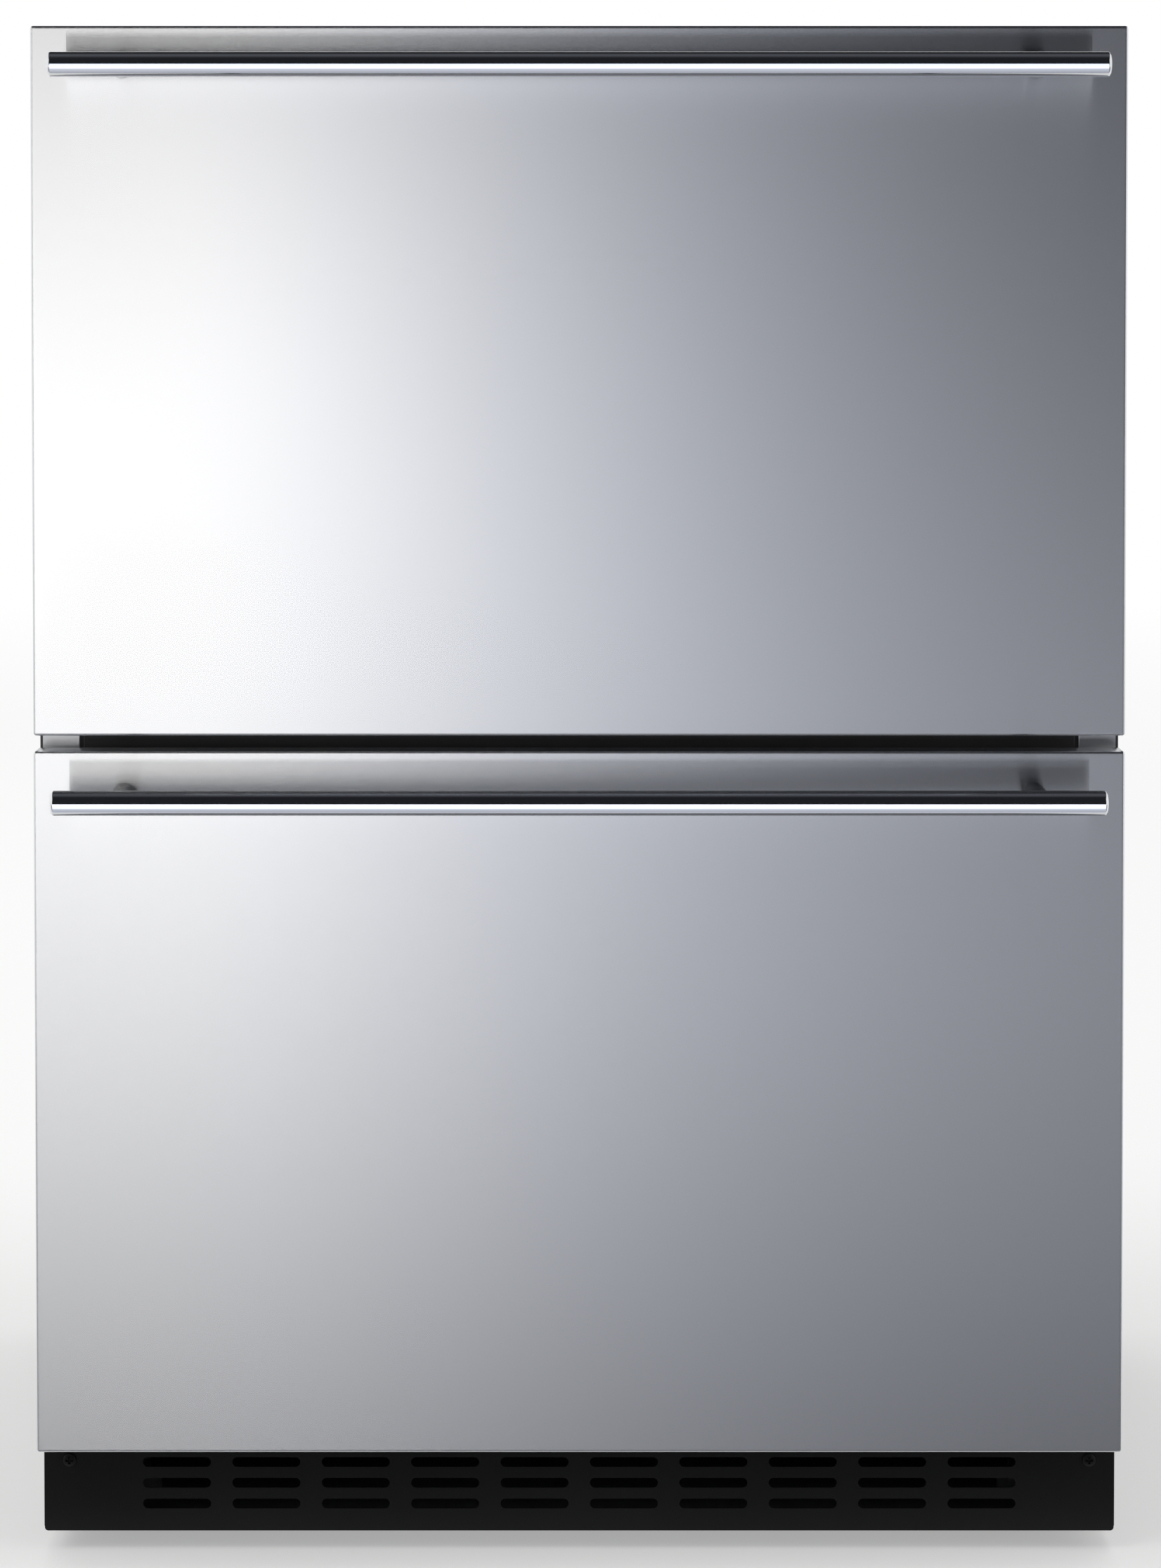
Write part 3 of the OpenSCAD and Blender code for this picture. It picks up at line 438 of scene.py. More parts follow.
def sheetMap(piece, across, up, lean=0):
    # A UV map in metres along two axes, for the grain. The lean keeps it whole on the narrow faces.
    layer = piece.data.uv_layers.new(name="sheet")
    third = 3 - across - up
    leanUp = 1.4 * lean
    for loop in piece.data.loops:
        place = piece.data.vertices[loop.vertex_index].co
        layer.data[loop.index].uv = (place[across] + lean * place[third], place[up] + leanUp * place[third])


def modify(piece, name, kind, **values):
    modifier = piece.modifiers.new(name, kind)
    setAll(modifier, **values)
    return modifier


def dress(piece, body, slotName, material, *replaced):
    piece.data.materials.clear()
    piece.data.materials.append(materials[material])
    if replaced:
        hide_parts(*replaced)
    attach(piece, body)
    return piece


def makePiece(name, bm, sharp, look, *replaced):
    return dress(meshPiece(name, bm, sharp), *look, *replaced)


# Drawer fronts: a pan of brushed sheet with a softly rounded edge and a hemmed rim
frontPan = {"cornerRadius": 1.6, "leastRadius": 0.25, "edgeRadius": 1.3, "sheet": 0.8, "supportLoop": 0.5,
            "lean": 0.5}


def makeFrontPan(side):
    low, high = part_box(side + "_front_skin")
    edge, corner, sheet, support = [frontPan[key] * mm
                                    for key in ("edgeRadius", "cornerRadius", "sheet", "supportLoop")]
    rows = [(edge + support, low.y)]
    rows += [(edge * (1 - sine), low.y + edge * (1 - cosine))
             for cosine, sine in map(turned, range(0, 91, 18))]
    rows.append((0, high.y - sheet))
    rows += [(sheet / 2 * (1 - cosine), high.y - sheet / 2 * (1 - sine))
             for cosine, sine in map(turned, range(45, 181, 45))]
    inner = low.y + sheet
    bend = edge * 0.3
    rows += [(sheet, inner + edge), (sheet + bend, inner + bend), (sheet + edge, inner),
             (sheet + edge + support, inner)]
    profile = [(-inset, -inset, max(corner - inset, frontPan["leastRadius"] * mm), y) for inset, y in rows]
    bm = loft(frontRings(low, high, 0, profile, 4))
    look = (side + "_drawer", "front_steel", "brushedSteel")
    piece = makePiece(side + "_front_panel", bm, 35, look, side + "_front_skin")
    sheetMap(piece, 0, 2, frontPan["lean"])


for side in sides:
    makeFrontPan(side)
print("drawer fronts made")


# Bar handles with domed ends, on turned posts. domeShares are of the dome and of the radius.
handle = {"segments": 96, "dome": 1, "tip": 0.3, "domeShares": ((0.25, 0.5), (0.6, 0.78)), "edge": 1.2,
          "postSlim": 0.3, "postEdge": 0.4, "postSegments": 48, "sharp": 50}


def makeBar(side):
    low, high, middle = spanOf(side + "_handle_bar")
    radius = (high.z - low.z) / 2
    dome, edge = handle["dome"] * mm, handle["edge"] * mm
    start = [(low.x, handle["tip"] * mm)]
    start += [(low.x + dome * along, radius * share) for along, share in handle["domeShares"]]
    start += [(low.x + dome + edge - edge * sine, radius - edge + edge * cosine)
              for cosine, sine in map(turned, (90, 67, 45, 22, 0))]
    end = [(low.x + high.x - along, reach) for along, reach in reversed(start)]
    bm = lathe(start + end, handle["segments"], endOn(0, middle.y, middle.z))
    look = (side + "_drawer", "polished_steel", "polishedSteel")
    piece = makePiece(side + "_bar", bm, handle["sharp"], look, side + "_handle_bar")
    sheetMap(piece, 0, 2)
    return piece


def makePosts(side):
    low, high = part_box(side + "_handle_posts")
    radius = (high.z - low.z) / 2
    edge = handle["postEdge"] * mm
    slim = radius - handle["postSlim"] * mm
    profile = [(low.y, slim), (high.y - 2 * edge, slim), (high.y - edge, slim - edge), (high.y, slim - edge)]
    bm = bmesh.new()
    for centreX in (low.x + radius, high.x - radius):
        lathe(profile, handle["postSegments"], facing(centreX, 0, (low.z + high.z) / 2), bm)
    # The posts take the darkened steel, painted shade in their colour
    look = (side + "_drawer", "polished_steel", "postSteelPaintedShade")
    sheetMap(makePiece(side + "_posts", bm, handle["sharp"], look, side + "_handle_posts"), 0, 1)


bars = {}
for side in sides:
    bars[side] = makeBar(side)
    makePosts(side)
print("handles made")


# Geometry Nodes: repeats a unit, standing in its first place, along two directions
def repeatTree():
    tree = bpy.data.node_groups.new("repeatUnit", "GeometryNodeTree")
    addSocket(tree, "Unit", "Geometry")
    for order in ("First", "Second"):
        addSocket(tree, order + " Count", "Int")
        addSocket(tree, order + " Step", "Vector")
    addSocket(tree, "Geometry", "Geometry", "OUTPUT")
    start = addNode(tree, "NodeGroupInput").outputs
    unit = start["Unit"]
    for order in ("First", "Second"):
        line = addOut(tree, "GeometryNodeMeshLine", Count=start[order + " Count"],
                      Offset=start[order + " Step"])
        copies = addOut(tree, "GeometryNodeInstanceOnPoints", Points=line, Instance=unit)
        unit = addOut(tree, "GeometryNodeRealizeInstances", i0=copies)
    addNode(tree, "NodeGroupOutput", i0=unit)
    return tree


repeatUnits = repeatTree()
once = (1, (0, 0, 0))


def repeatPiece(name, bm, look, first, second=once, replaced=(), thickness=0, sharp=35):
    # The look is body, slot and material, and first and second are a count and a step
    unit = meshPiece(name + "Unit", bm, sharp)
    if thickness:
        modify(unit, "sheet", "SOLIDIFY", thickness=thickness, offset=1)
    repeat = modify(unit, "repeat", "NODES", node_group=repeatUnits)
    values = {"First Count": first[0], "First Step": first[1],
              "Second Count": second[0], "Second Step": second[1]}
    for socket in repeatUnits.interface.items_tree:
        if socket.name in values:
            repeat[socket.identifier] = values[socket.name]
    whole = unit.evaluated_get(bpy.context.evaluated_depsgraph_get())
    mesh = bpy.data.meshes.new_from_object(whole)
    mesh.name = name
    bpy.data.objects.remove(unit)
    dress(addObject(name, mesh), *look, *replaced)


# Openings of the two drawers, from the liner and the bar between them
linerLow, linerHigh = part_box("inner_liner")
mullionLow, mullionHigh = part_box("mullion_core")
wall = 2 * mm
openings = {
    "upper": (mullionHigh.z + wall, linerHigh.z - wall),
    "lower": (linerLow.z + wall, mullionLow.z - wall),
}
openingWidth = linerHigh.x - linerLow.x - 2 * wall

# Drawer liners: a flange behind the front, and a plug with a recessed, ribbed field
# Rows are growth, corner radius, and depth behind the flange's front face
plugMargin = 10 * mm
flangeProfile = inMillimetres([(0, 1, 0), (0, 1, 2)])
plugProfile = inMillimetres([
    (3, 10.5, 2), (1, 9, 2.7), (0.2, 8.3, 4.2), (-1.6, 8, 24.4), (-2.2, 8, 26.6), (-3.4, 8, 28.2),
    (-5.6, 7, 29), (-27, 14, 29), (-28.6, 13.5, 28.3), (-30.6, 13, 25), (-31.6, 12.5, 24.2),
    (-33.5, 12, 24), (-60, 10, 24)])
drawerRibs = {"short": 60, "height": 2.2, "sunk": 0.5, "fieldDepth": 5, "from": -160,
              "count": 5, "step": 80, "ends": ((0, 0.2), (2, 2.1), (6, 3))}  # shortened by, half width


def plugRings(side, y, profile):
    bottom, top = openings[side]
    return outlineRings(openingWidth - 2 * plugMargin, top - bottom - 2 * plugMargin, profile,
                        facing(0, y, (bottom + top) / 2))


def makeInnerPanel(side, rib):
    low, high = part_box(side + "_inner_panel")
    bottom, top = openings[side]
    rings = frontRings(low, high, low.y, flangeProfile) + plugRings(side, low.y, plugProfile)
    look = (side + "_drawer", "white_liner", "linerWhite")
    makePiece(side + "_drawer_liner", loft(rings), 50, look, side + "_inner_panel")
    # Upright ribs in the recessed field
    reach = (top - bottom) / 2 - rib["short"] * mm
    height = (rib["height"] + rib["sunk"]) * mm
    ends = [(width * mm, height * min(width / 2, 1), reach - less * mm) for less, width in rib["ends"]]
    ends += [(width, bulge, -along) for width, bulge, along in reversed(ends)]
    place = lying(rib["from"] * mm, high.y - (rib["fieldDepth"] + rib["sunk"]) * mm, (bottom + top) / 2)
    repeatPiece(side + "_liner_ribs", loft(ovalRings(ends, place, range(0, 181, 30))), look,
                (rib["count"], (rib["step"] * mm, 0, 0)))


coreProfile = inMillimetres([(-1, 2, 0), (0, 2, 1)])
foamProfile = inMillimetres([(-4, 6, 0), (-5, 6, 20), (-9, 4, 21.5)])


def makeFrontFoam(side):
    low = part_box(side + "_front_foam")[0]
    panelLow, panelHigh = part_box(side + "_inner_panel")
    profile = coreProfile + [(0, 0, 2 * mm, panelLow.y - low.y)]
    rings = frontRings(panelLow, panelHigh, low.y, profile) + plugRings(side, panelLow.y, foamProfile)
    look = (side + "_drawer", "foam", "foamCream")
    makePiece(side + "_front_core", loft(rings), 50, look, side + "_front_foam")


# Gaskets: a foot, two folds and a magnet pocket, run round the opening
# Pairs are how far outside the opening, and the depth
gasketCorner = 6.0
gasketPairs = [
    (17.4, 0), (18, 0.8), (17, 1.7), (14.6, 2.3), (17.5, 3.4), (14.8, 4.5), (17.2, 5.4), (17.2, 7.2),
    (16.4, 7.75), (5.6, 7.75), (4.8, 7.2), (4.8, 5.4), (7.2, 4.5), (4.5, 3.4), (7.4, 2.3), (5, 1.7),
    (4, 0.8), (4.6, 0)]
gasketProfile = inMillimetres([(out, gasketCorner + out, depth) for out, depth in gasketPairs])


def makeGasket(side):
    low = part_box(side + "_gasket")[0]
    bottom, top = openings[side]
    bm = closedRing(openingWidth, top - bottom, gasketProfile, facing(0, low.y, (bottom + top) / 2), 8)
    makePiece(side + "_seal", bm, 60, (side + "_drawer", "grey_gasket", "greyGasket"), side + "_gasket")


# Bins: rounded floor edges, a rolled rim and ribbed long sides
binRim = {"across": 15, "ends": 4, "height": 3}
binRibs = {"depth": 1.5, "halfWidth": 2.2, "clear": 22, "ends": 45, "pitch": 42,
           "taper": ((0, 0.05), (2, 0.7), (5, 1))}  # from each end, share of the section


def makeBin(side, rib):
    low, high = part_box(side + "_bin")
    across, ends = binRim["across"] * mm, binRim["ends"] * mm
    width, length = high.x - low.x - 2 * across, high.y - low.y - 2 * ends
    rim = high.z - low.z - binRim["height"] * mm
    full = rim / mm
    profile = inMillimetres([
        (-13, 3, 0), (-7, 5, 0.5), (-3, 7.5, 2.6), (-0.9, 9.5, 6.5), (0, 10.5, 12), (0, 10.5, full - 3),
        (0.8, 0.5, 11, full - 0.8), (2.5, 1.2, 11.5, full), (14.2, 3.2, 14, full), (15, 4, 14.5, full + 0.8),
        (15, 4, 14.5, full + 2.1), (14.2, 3.3, 14, full + 3), (0.6, 0.2, 11, full + 3),
        (-1.4, 9.5, full + 2.2), (-2.5, 8.5, full), (-2.5, 8.5, 14), (-3.4, 7.5, 8.8), (-5.4, 5.8, 5),
        (-9, 4, 3), (-15, 2, 2.5)])
    rings = outlineRings(width, length, profile, lying(0, (low.y + high.y) / 2, low.z))
    look = (side + "_drawer", "bin_plastic", "binPlastic")
    makePiece(side + "_tub", loft(rings), 40, look, side + "_bin")
    count = int((high.y - low.y - 2 * rib["ends"] * mm) / (rib["pitch"] * mm)) + 1
    bottom, top = low.z + rib["clear"] * mm, low.z + rim - rib["clear"] * mm
    levels = [(bottom + along * mm, share) for along, share in rib["taper"]]
    levels += [(top - along * mm, share) for along, share in reversed(rib["taper"])]
    rows = [(share * rib["depth"] * mm, share * rib["halfWidth"] * mm, z) for z, share in levels]
    place = lying(-width / 2, low.y + rib["ends"] * mm, 0)
    repeatPiece(side + "_tub_ribs", loft(ovalRings(rows, place)), look,
                (count, (0, rib["pitch"] * mm, 0)), (2, (width, 0, 0)))


for side in sides:
    makeInnerPanel(side, drawerRibs)
    makeFrontFoam(side)
    makeGasket(side)
    makeBin(side, binRibs)
print("drawer insides made")


# Rivets between the side frames and the slides
rivets = {"radius": 3, "least": 0.1, "height": 1.6, "count": 5, "ends": 30, "drop": 35, "sheet": 0.75}


def makeRivets(side, look):
    low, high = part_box(side + "_side_frames")
    sheetX = high.x - look["sheet"] * mm
    step = (high.y - low.y - 2 * look["ends"] * mm) / (look["count"] - 1)
    profile = [(look["height"] * mm * sine, max(look["radius"] * cosine, look["least"]) * mm)
               for cosine, sine in map(turned, range(-90, 91, 18))]
    bm = lathe(profile, 20, endOn(-sheetX, low.y + look["ends"] * mm, high.z - look["drop"] * mm))
    repeatPiece(side + "_rivets", bm, (side + "_drawer", "slide_steel", "slideSteel"),
                (look["count"], (0, step, 0)), (2, (2 * sheetX, 0, 0)))


for side in sides:
    makeRivets(side, rivets)


# Cabinet liner: a moulded shell with a step over the machine compartment
linerShape = {"corner": 9, "segments": 5, "floorReach": 5}


def makeLiner(look):
    vertices = [v.co for v in nodes["inner_liner"].data.vertices]
    stepY = max(v.y for v in vertices if v.z < linerLow.z + look["floorReach"] * mm) - wall
    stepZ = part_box("evaporator_cover")[0].z
    front, back = linerLow.y, linerHigh.y - wall
    bottom, top = linerLow.z + wall, linerHigh.z - wall
    outline = [(front, bottom), (stepY, bottom), (stepY, stepZ), (back, stepZ), (back, top), (front, top)]
    bm = bmesh.new()
    ends = [[bm.verts.new((x, y, z)) for y, z in outline] for x in (-openingWidth / 2, openingWidth / 2)]
    for k in range(len(outline) - 1):
        bm.faces.new((ends[0][k], ends[0][k + 1], ends[1][k + 1], ends[1][k]))
    for end in ends:
        bm.faces.new(end)
    bmesh.ops.recalc_face_normals(bm, faces=bm.faces)
    inner = [edge for edge in bm.edges if len(edge.link_faces) == 2]
    bmesh.ops.bevel(bm, geom=inner, offset=look["corner"] * mm, segments=look["segments"],
                    profile=0.5, affect="EDGES")
    piece = makePiece("moulded_liner", bm, 40, ("cabinet", "white_liner", "linerWhite"), "inner_liner")
    modify(piece, "shell", "SOLIDIFY", thickness=wall, offset=1)


makeLiner(linerShape)

# Rear panel with pressed beads, and louvre hoods on the machine cover
rearBeads = {"frame": 42, "gap": 34, "panels": 3, "corner": 16, "halfWidth": 5.5, "height": 3.4,
             "reach": 24, "lines": 8}
coverLouvres = {"firstX": -215, "firstZ": 50, "columns": 7, "rows": 12, "stepX": 52, "stepZ": 13,
                "halfLength": 20.5, "rise": 3.6, "lip": 2.9, "depth": 3, "sheet": 0.5, "sunk": 0.1,
                "sections": 6}


def closeLines(low, high, marks, reach, count):
    # Grid lines that lie close together round each mark
    lines = {low, high}
    for mark in marks:
        near = [mark + reach * k / count for k in range(-count, count + 1)]
        lines.update(line for line in near if low < line < high)
    return sorted(lines)


def makeRearPanel(look):
    low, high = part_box("rear_panel")
    frameX, gap = look["frame"] * mm, look["gap"] * mm
    width = (high.x - low.x - 2 * frameX - (look["panels"] - 1) * gap) / look["panels"]
    boxes = [(low.x + frameX + k * (width + gap) + width / 2, width / 2) for k in range(look["panels"])]
    middleZ, halfZ = (low.z + high.z) / 2, (high.z - low.z) / 2 - frameX
    marksX = [centre + side * half for centre, half in boxes for side in (-1, 1)]
    corner, bead, height, reach = [look[key] * mm for key in ("corner", "halfWidth", "height", "reach")]

    def rise(x, z):
        nearest = 1.0
        for centre, half in boxes:
            u, v = abs(x - centre) - half + corner, abs(z - middleZ) - halfZ + corner
            off = math.hypot(max(u, 0), max(v, 0)) + min(max(u, v), 0) - corner
            nearest = min(nearest, abs(off))
        share = max(1 - nearest / bead, 0)
        return height * share * share * (3 - 2 * share)

    linesX = closeLines(low.x, high.x, marksX, reach, look["lines"])
    linesZ = closeLines(low.z, high.z, (middleZ - halfZ, middleZ + halfZ), reach, look["lines"])
    rows = [[(x, high.y + rise(x, z), z) for x in reversed(linesX)] for z in linesZ]
    bm = loft(rows, closeEnds=False, around=False)
    piece = makePiece("rear_sheet", bm, None, ("cabinet", "zinc_steel", "zincSteel"), "rear_panel")
    modify(piece, "sheet", "SOLIDIFY", thickness=high.y - low.y)


def makeLouvres(look):
    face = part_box("machine_cover")[1].y - look["sunk"] * mm
    rows = []
    for k in range(-look["sections"], look["sections"] + 1):
        u = k / look["sections"]
        bulge = math.sqrt(max(1 - u ** 4, 0))
        drop = (look["rise"] + look["lip"]) * bulge
        x = (look["firstX"] + u * look["halfLength"]) * mm
        rows.append([(x, face + bulge * look["depth"] * mm * sine,
                      (look["firstZ"] + look["rise"] - drop * (1 - cosine)) * mm)
                     for cosine, sine in map(turned, (0, 22, 45, 67, 90))])
    bm = loft(rows, closeEnds=False, around=False)
    repeatPiece("louvre_hoods", bm, ("cabinet", "kick_black", "satinBlackPaint"),
                (look["columns"], (look["stepX"] * mm, 0, 0)), (look["rows"], (0, 0, look["stepZ"] * mm)),
                thickness=look["sheet"] * mm, sharp=50)


makeRearPanel(rearBeads)
makeLouvres(coverLouvres)

# Pan-head screws with a cross recess, on the kick plate and the machine cover
panHead = {"radius": 3.8, "height": 2, "shank": 2, "reach": 10, "arm": 2.1, "armHalf": 0.55,
           "recess": 1.1, "recessFrom": 0.65, "segments": 48, "inset": 12, "kickInset": 14, "kickRise": 40,
           "coverDrop": 8, "coverRise": 15.5,
           "crown": (0.84, 0.74, 0.64, 0.57, 0.5, 0.42, 0.35, 0.28, 0.21, 0.14, 0.07)}


def screwMesh(x, y, z, outward, look):
    radius, height = look["radius"], look["height"]
    profile = [(-look["reach"], look["shank"]), (0, look["shank"]), (0, radius), (height * 0.35, radius),
               (height * 0.62, radius * 0.93)]
    profile += [(height * (1 - 0.4 * share ** 2), radius * share) for share in look["crown"]]

    def place(u, v, along):
        short, long = sorted((abs(u), abs(v)))
        inCross = long < look["arm"] and short < look["armHalf"]
        sunk = look["recess"] if inCross and along > look["recessFrom"] * height else 0
        return x + u * mm, y + outward * (along - sunk) * mm, z + v * mm

    return lathe(profile, look["segments"], place)


def makeScrews(look):
    finish = ("cabinet", "kick_black", "satinBlackPaint")
    low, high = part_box("kick_plate")
    x, z = low.x + look["kickInset"] * mm, low.z + look["kickRise"] * mm
    repeatPiece("kick_screws", screwMesh(x, low.y, z, -1, look), finish, (2, (-2 * x, 0, 0)),
                replaced=("cabinet_screws",))
    low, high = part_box("machine_cover")
    x = low.x + look["inset"] * mm
    for name, count, z in (("cover_top_screws", 3, high.z - look["coverDrop"] * mm),
                           ("cover_low_screws", 2, low.z + look["coverRise"] * mm)):
        repeatPiece(name, screwMesh(x, high.y, z, 1, look), finish, (count, (-2 * x / (count - 1), 0, 0)))


makeScrews(panHead)
print("rear and screws made")


# Levelling feet: disc, collar and threaded stem, as height and radius
footShape = {"disc": [(0, 15), (0, 18), (0.5, 18.7), (1.4, 19), (4.6, 19), (5.5, 18.6), (6, 17.6), (6.2, 13),
                      (7.4, 12.6), (8, 11.6), (8, 5)],
             "threadFrom": 9, "pitch": 1.5, "crest": 5, "root": 4.3, "tip": 0.4, "tipShare": 0.85,
             "segments": 40}


def makeFoot(place, look):
    low, high, middle = spanOf(place + "_foot")
    full = (high.z - low.z) / mm
    root = look["root"]
    profile = list(look["disc"])
    along = look["threadFrom"]
    while along + look["pitch"] < full:
        profile += [(along, root), (along + look["pitch"] / 2, look["crest"])]
        along += look["pitch"]
    profile += [(full - look["tip"], root), (full, root * look["tipShare"])]
    profile = [(along * mm, radius * mm) for along, radius in profile]
    bm = lathe(profile, look["segments"], lying(middle.x, middle.y, low.z))
    look = (place + "_foot", "black_plastic", "blackPlastic")
    makePiece(place + "_leveller", bm, 45, look, place + "_foot")


for place in ("front_left", "front_right", "rear_left", "rear_right"):
    makeFoot(place, footShape)

# Buttons with raised arrows, the display window and the ribbed lamp cover
buttonShape = {"corner": 1.8, "crown": 0.35, "arrow": 1.7, "arrowRise": 0.3}
displayShape = {"halfWidth": 16.5, "halfHeight": 6.5, "drop": 12}
lensShape = {"ribRadius": 1.1, "ribRise": 0.3, "ribTip": 0.2, "pitch": 5, "clear": 7}


def makeButton(name, turn, look):
    low, high, middle = spanOf(name + "_button")
    corner = look["corner"]
    deep = (high.y - low.y) / mm
    profile = inMillimetres([(-0.3, corner, -0.1), (0, corner, 0.6 - deep / 2), (0, corner, 0.9 - deep),
                             (-0.25, corner - 0.2, 0.3 - deep), (-0.9, corner - 0.8, 0.05 - deep),
                             (-2.2, 0.5, -deep)])
    bm = loft(frontRings(low, high, high.y, profile))
    size, rise = look["arrow"] * mm, look["arrowRise"] * mm
    levels = ((1.15, low.y + look["crown"] * mm), (1, low.y - rise * 0.6), (0.8, low.y - rise))
    rows = [(size * share, turn * size * share, y) for share, y in levels]
    loft(ovalRings(rows, facing(middle.x, 0, middle.z), (90, 210, 330)), bm)
    makePiece(name + "_key", bm, 50, (name + "_button", "grey_plastic", "greyPlastic"), name + "_button")


def makeDisplay(look):
    low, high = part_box("control_panel")
    profile = inMillimetres([(0, 2, 1), (0, 2, -0.2), (-0.3, 1.8, -0.45), (-0.9, 1.3, -0.5)])
    rings = outlineRings(2 * look["halfWidth"] * mm, 2 * look["halfHeight"] * mm, profile,
                         facing(0, low.y, high.z - look["drop"] * mm))
    makePiece("display_window", loft(rings), 35, ("cabinet", "black_plastic", "displayGlass"))


def makeLens(look):
    low, high, middle = spanOf("lamp_lens")
    deep = (high.z - low.z) / mm
    profile = inMillimetres([(0, 8, 0), (0, 8, 2.4 - deep), (-0.5, 7.5, 1.2 - deep), (-1.6, 6.4, 0.4 - deep),
                             (-3.4, 4.6, -deep)])
    rings = outlineRings(high.x - low.x, high.y - low.y, profile, lying(middle.x, middle.y, high.z))
    finish = ("cabinet", "lamp_glass", "lampGlass")
    makePiece("lamp_cover", loft(rings), 40, finish, "lamp_lens")
    radius, clear = look["ribRadius"] * mm, look["clear"] * mm
    tip = look["ribTip"]
    count = int((high.x - low.x - 2 * clear) / (look["pitch"] * mm)) + 1
    levels = ((tip, low.y + clear - radius), (1, low.y + clear), (1, high.y - clear),
              (tip, high.y - clear + radius))
    rows = [(share * radius, share * radius, y) for share, y in levels]
    place = facing(low.x + clear, 0, low.z + look["ribRise"] * mm)
    repeatPiece("lamp_ribs", loft(ovalRings(rows, place)), finish, (count, (look["pitch"] * mm, 0, 0)))


makeButton("colder", -1, buttonShape)
makeButton("warmer", 1, buttonShape)
makeDisplay(displayShape)
makeLens(lensShape)

# A raised ring round the evaporator fan's grille
grilleRing = {"radius": 60, "halfWidth": 3.2, "height": 2.6, "sunk": 0.3,
              "shares": ((1, 0.4), (0.7, 0.85), (0, 1), (-0.7, 0.85), (-1, 0.4))}  # of width and of height


def makeGrilleRing(look):
    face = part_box("evaporator_cover")[0].y
    low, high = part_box("evaporator_fan")
    section = [(across * look["halfWidth"], rise * look["height"]) for across, rise in look["shares"]]
    section = [(look["halfWidth"], -look["sunk"])] + section + [(-look["halfWidth"], -look["sunk"])]
    profile = inMillimetres([(growth, look["radius"] + growth, -rise) for growth, rise in section])
    size = 2 * look["radius"] * mm
    bm = closedRing(size, size, profile, facing(0, face, (low.z + high.z) / 2), 16)
    makePiece("fan_grille_ring", bm, 50, ("cabinet", "white_plastic", "whitePlastic"))


makeGrilleRing(grilleRing)
print("inside fittings made")


# Carried nodes under their material, each with the width of its softened edges in millimetres
nodeFinish = {
    "cabinetSheet": {"outer_wrapper": 0.5},
    "zincSteel": {"stepped_floor": 0.4, "counter_brackets": 0.4},
    # The base pan gets the darkened zinc, painted shade in its colour
    "darkZincPaintedShade": {"base_pan": 0.4},
    "frameBlack": {"front_frame": 0.6, "mullion_core": 0.5},
    "foamCream": {"cabinet_foam": 0.8},
    "satinBlackPaint": {"kick_plate": 0.5, "machine_cover": 0},
    "compressorBlack": {"compressor": 1},
    "blackRubber": {"compressor_mounts": 0.5},
    "coilBlack": {"condenser_coil": 0},
    "blackPlastic": {"fan_shroud": 0.5, "drain_pan": 0.6, "power_inlet": 0.4, "condenser_fan": 0,
                     "evaporator_fan": 0},
    "motorGrey": {"condenser_motor": 0.5, "evaporator_motor": 0.5},
    "copperTube": {"filter_drier": 0.3, "refrigerant_lines": 0},
    "greyPlastic": {"drain_tube": 0.2, "control_box": 0.8},
    "coilAluminium": {"evaporator_coil": 0},
    "whitePlastic": {"evaporator_cover": 0.8, "temperature_sensor": 0.3, "control_panel": 1},
    "slideSteel": {"cabinet_slides": 0.2},
}
for side in sides:
    nodeFinish["zincSteel"][side + "_handle_screws"] = 0.3
    for kind in ("_side_frames", "_runners", "_middle_slides"):
        nodeFinish["slideSteel"][side + kind] = 0.2
nodeEdges = {"weld": 0.01, "segments": 2, "bevelAngle": 40, "sharpAngle": 32, "flatWeight": 100}


def smoothTree(angle):
    # Smooth shading, sharp where faces meet at more than the angle
    tree = bpy.data.node_groups.new("smoothFaces", "GeometryNodeTree")
    for way in ("INPUT", "OUTPUT"):
        addSocket(tree, "Geometry", "Geometry", way)
    start = addOut(tree, "NodeGroupInput")
    corner = addOut(tree, "GeometryNodeInputMeshEdgeAngle")
    above = addOut(tree, "FunctionNodeCompare", {"operation": "GREATER_THAN"}, i0=corner,
                   i1=math.radians(angle))
    faces = addOut(tree, "GeometryNodeSetShadeSmooth", {"domain": "FACE"}, i0=start)
    edges = addOut(tree, "GeometryNodeSetShadeSmooth", {"domain": "EDGE"}, i0=faces, Selection=above,
                   **{"Shade Smooth": False})
    addNode(tree, "NodeGroupOutput", i0=edges)
    return tree


smoothFaces = smoothTree(nodeEdges["sharpAngle"])


def finishNode(node, finish, softened, look):
    node.data.materials.clear()
    node.data.materials.append(materials[finish])
    modify(node, "weld", "WELD", merge_threshold=look["weld"] * mm)
    if softened:
        modify(node, "softEdge", "BEVEL", width=softened * mm, segments=look["segments"],
               limit_method="ANGLE", angle_limit=math.radians(look["bevelAngle"]))
    modify(node, "smooth", "NODES", node_group=smoothFaces)
    modify(node, "flatFaces", "WEIGHTED_NORMAL", keep_sharp=True, weight=look["flatWeight"])


for finish, softenedNodes in nodeFinish.items():
    for name, softened in softenedNodes.items():
        finishNode(nodes[name], finish, softened, nodeEdges)
print("carried nodes dressed:", sum(len(group) for group in nodeFinish.values()))


# Studio: pale floor, soft lamps, and cards that the steel reflects
def stageMesh(name, corners, material, faces=None):
    mesh = bpy.data.meshes.new(name)
    mesh.from_pydata(corners, [], faces or [list(range(len(corners)))])
    mesh.materials.append(material)
    piece = addObject(name, mesh)
    return piece


def upright(half, y, bottom, top):
    return [(-half, y, bottom), (half, y, bottom), (half, y, top), (-half, y, top)]


def level(half, front, back, z):
    return [(-half, front, z), (half, front, z), (half, back, z), (-half, back, z)]


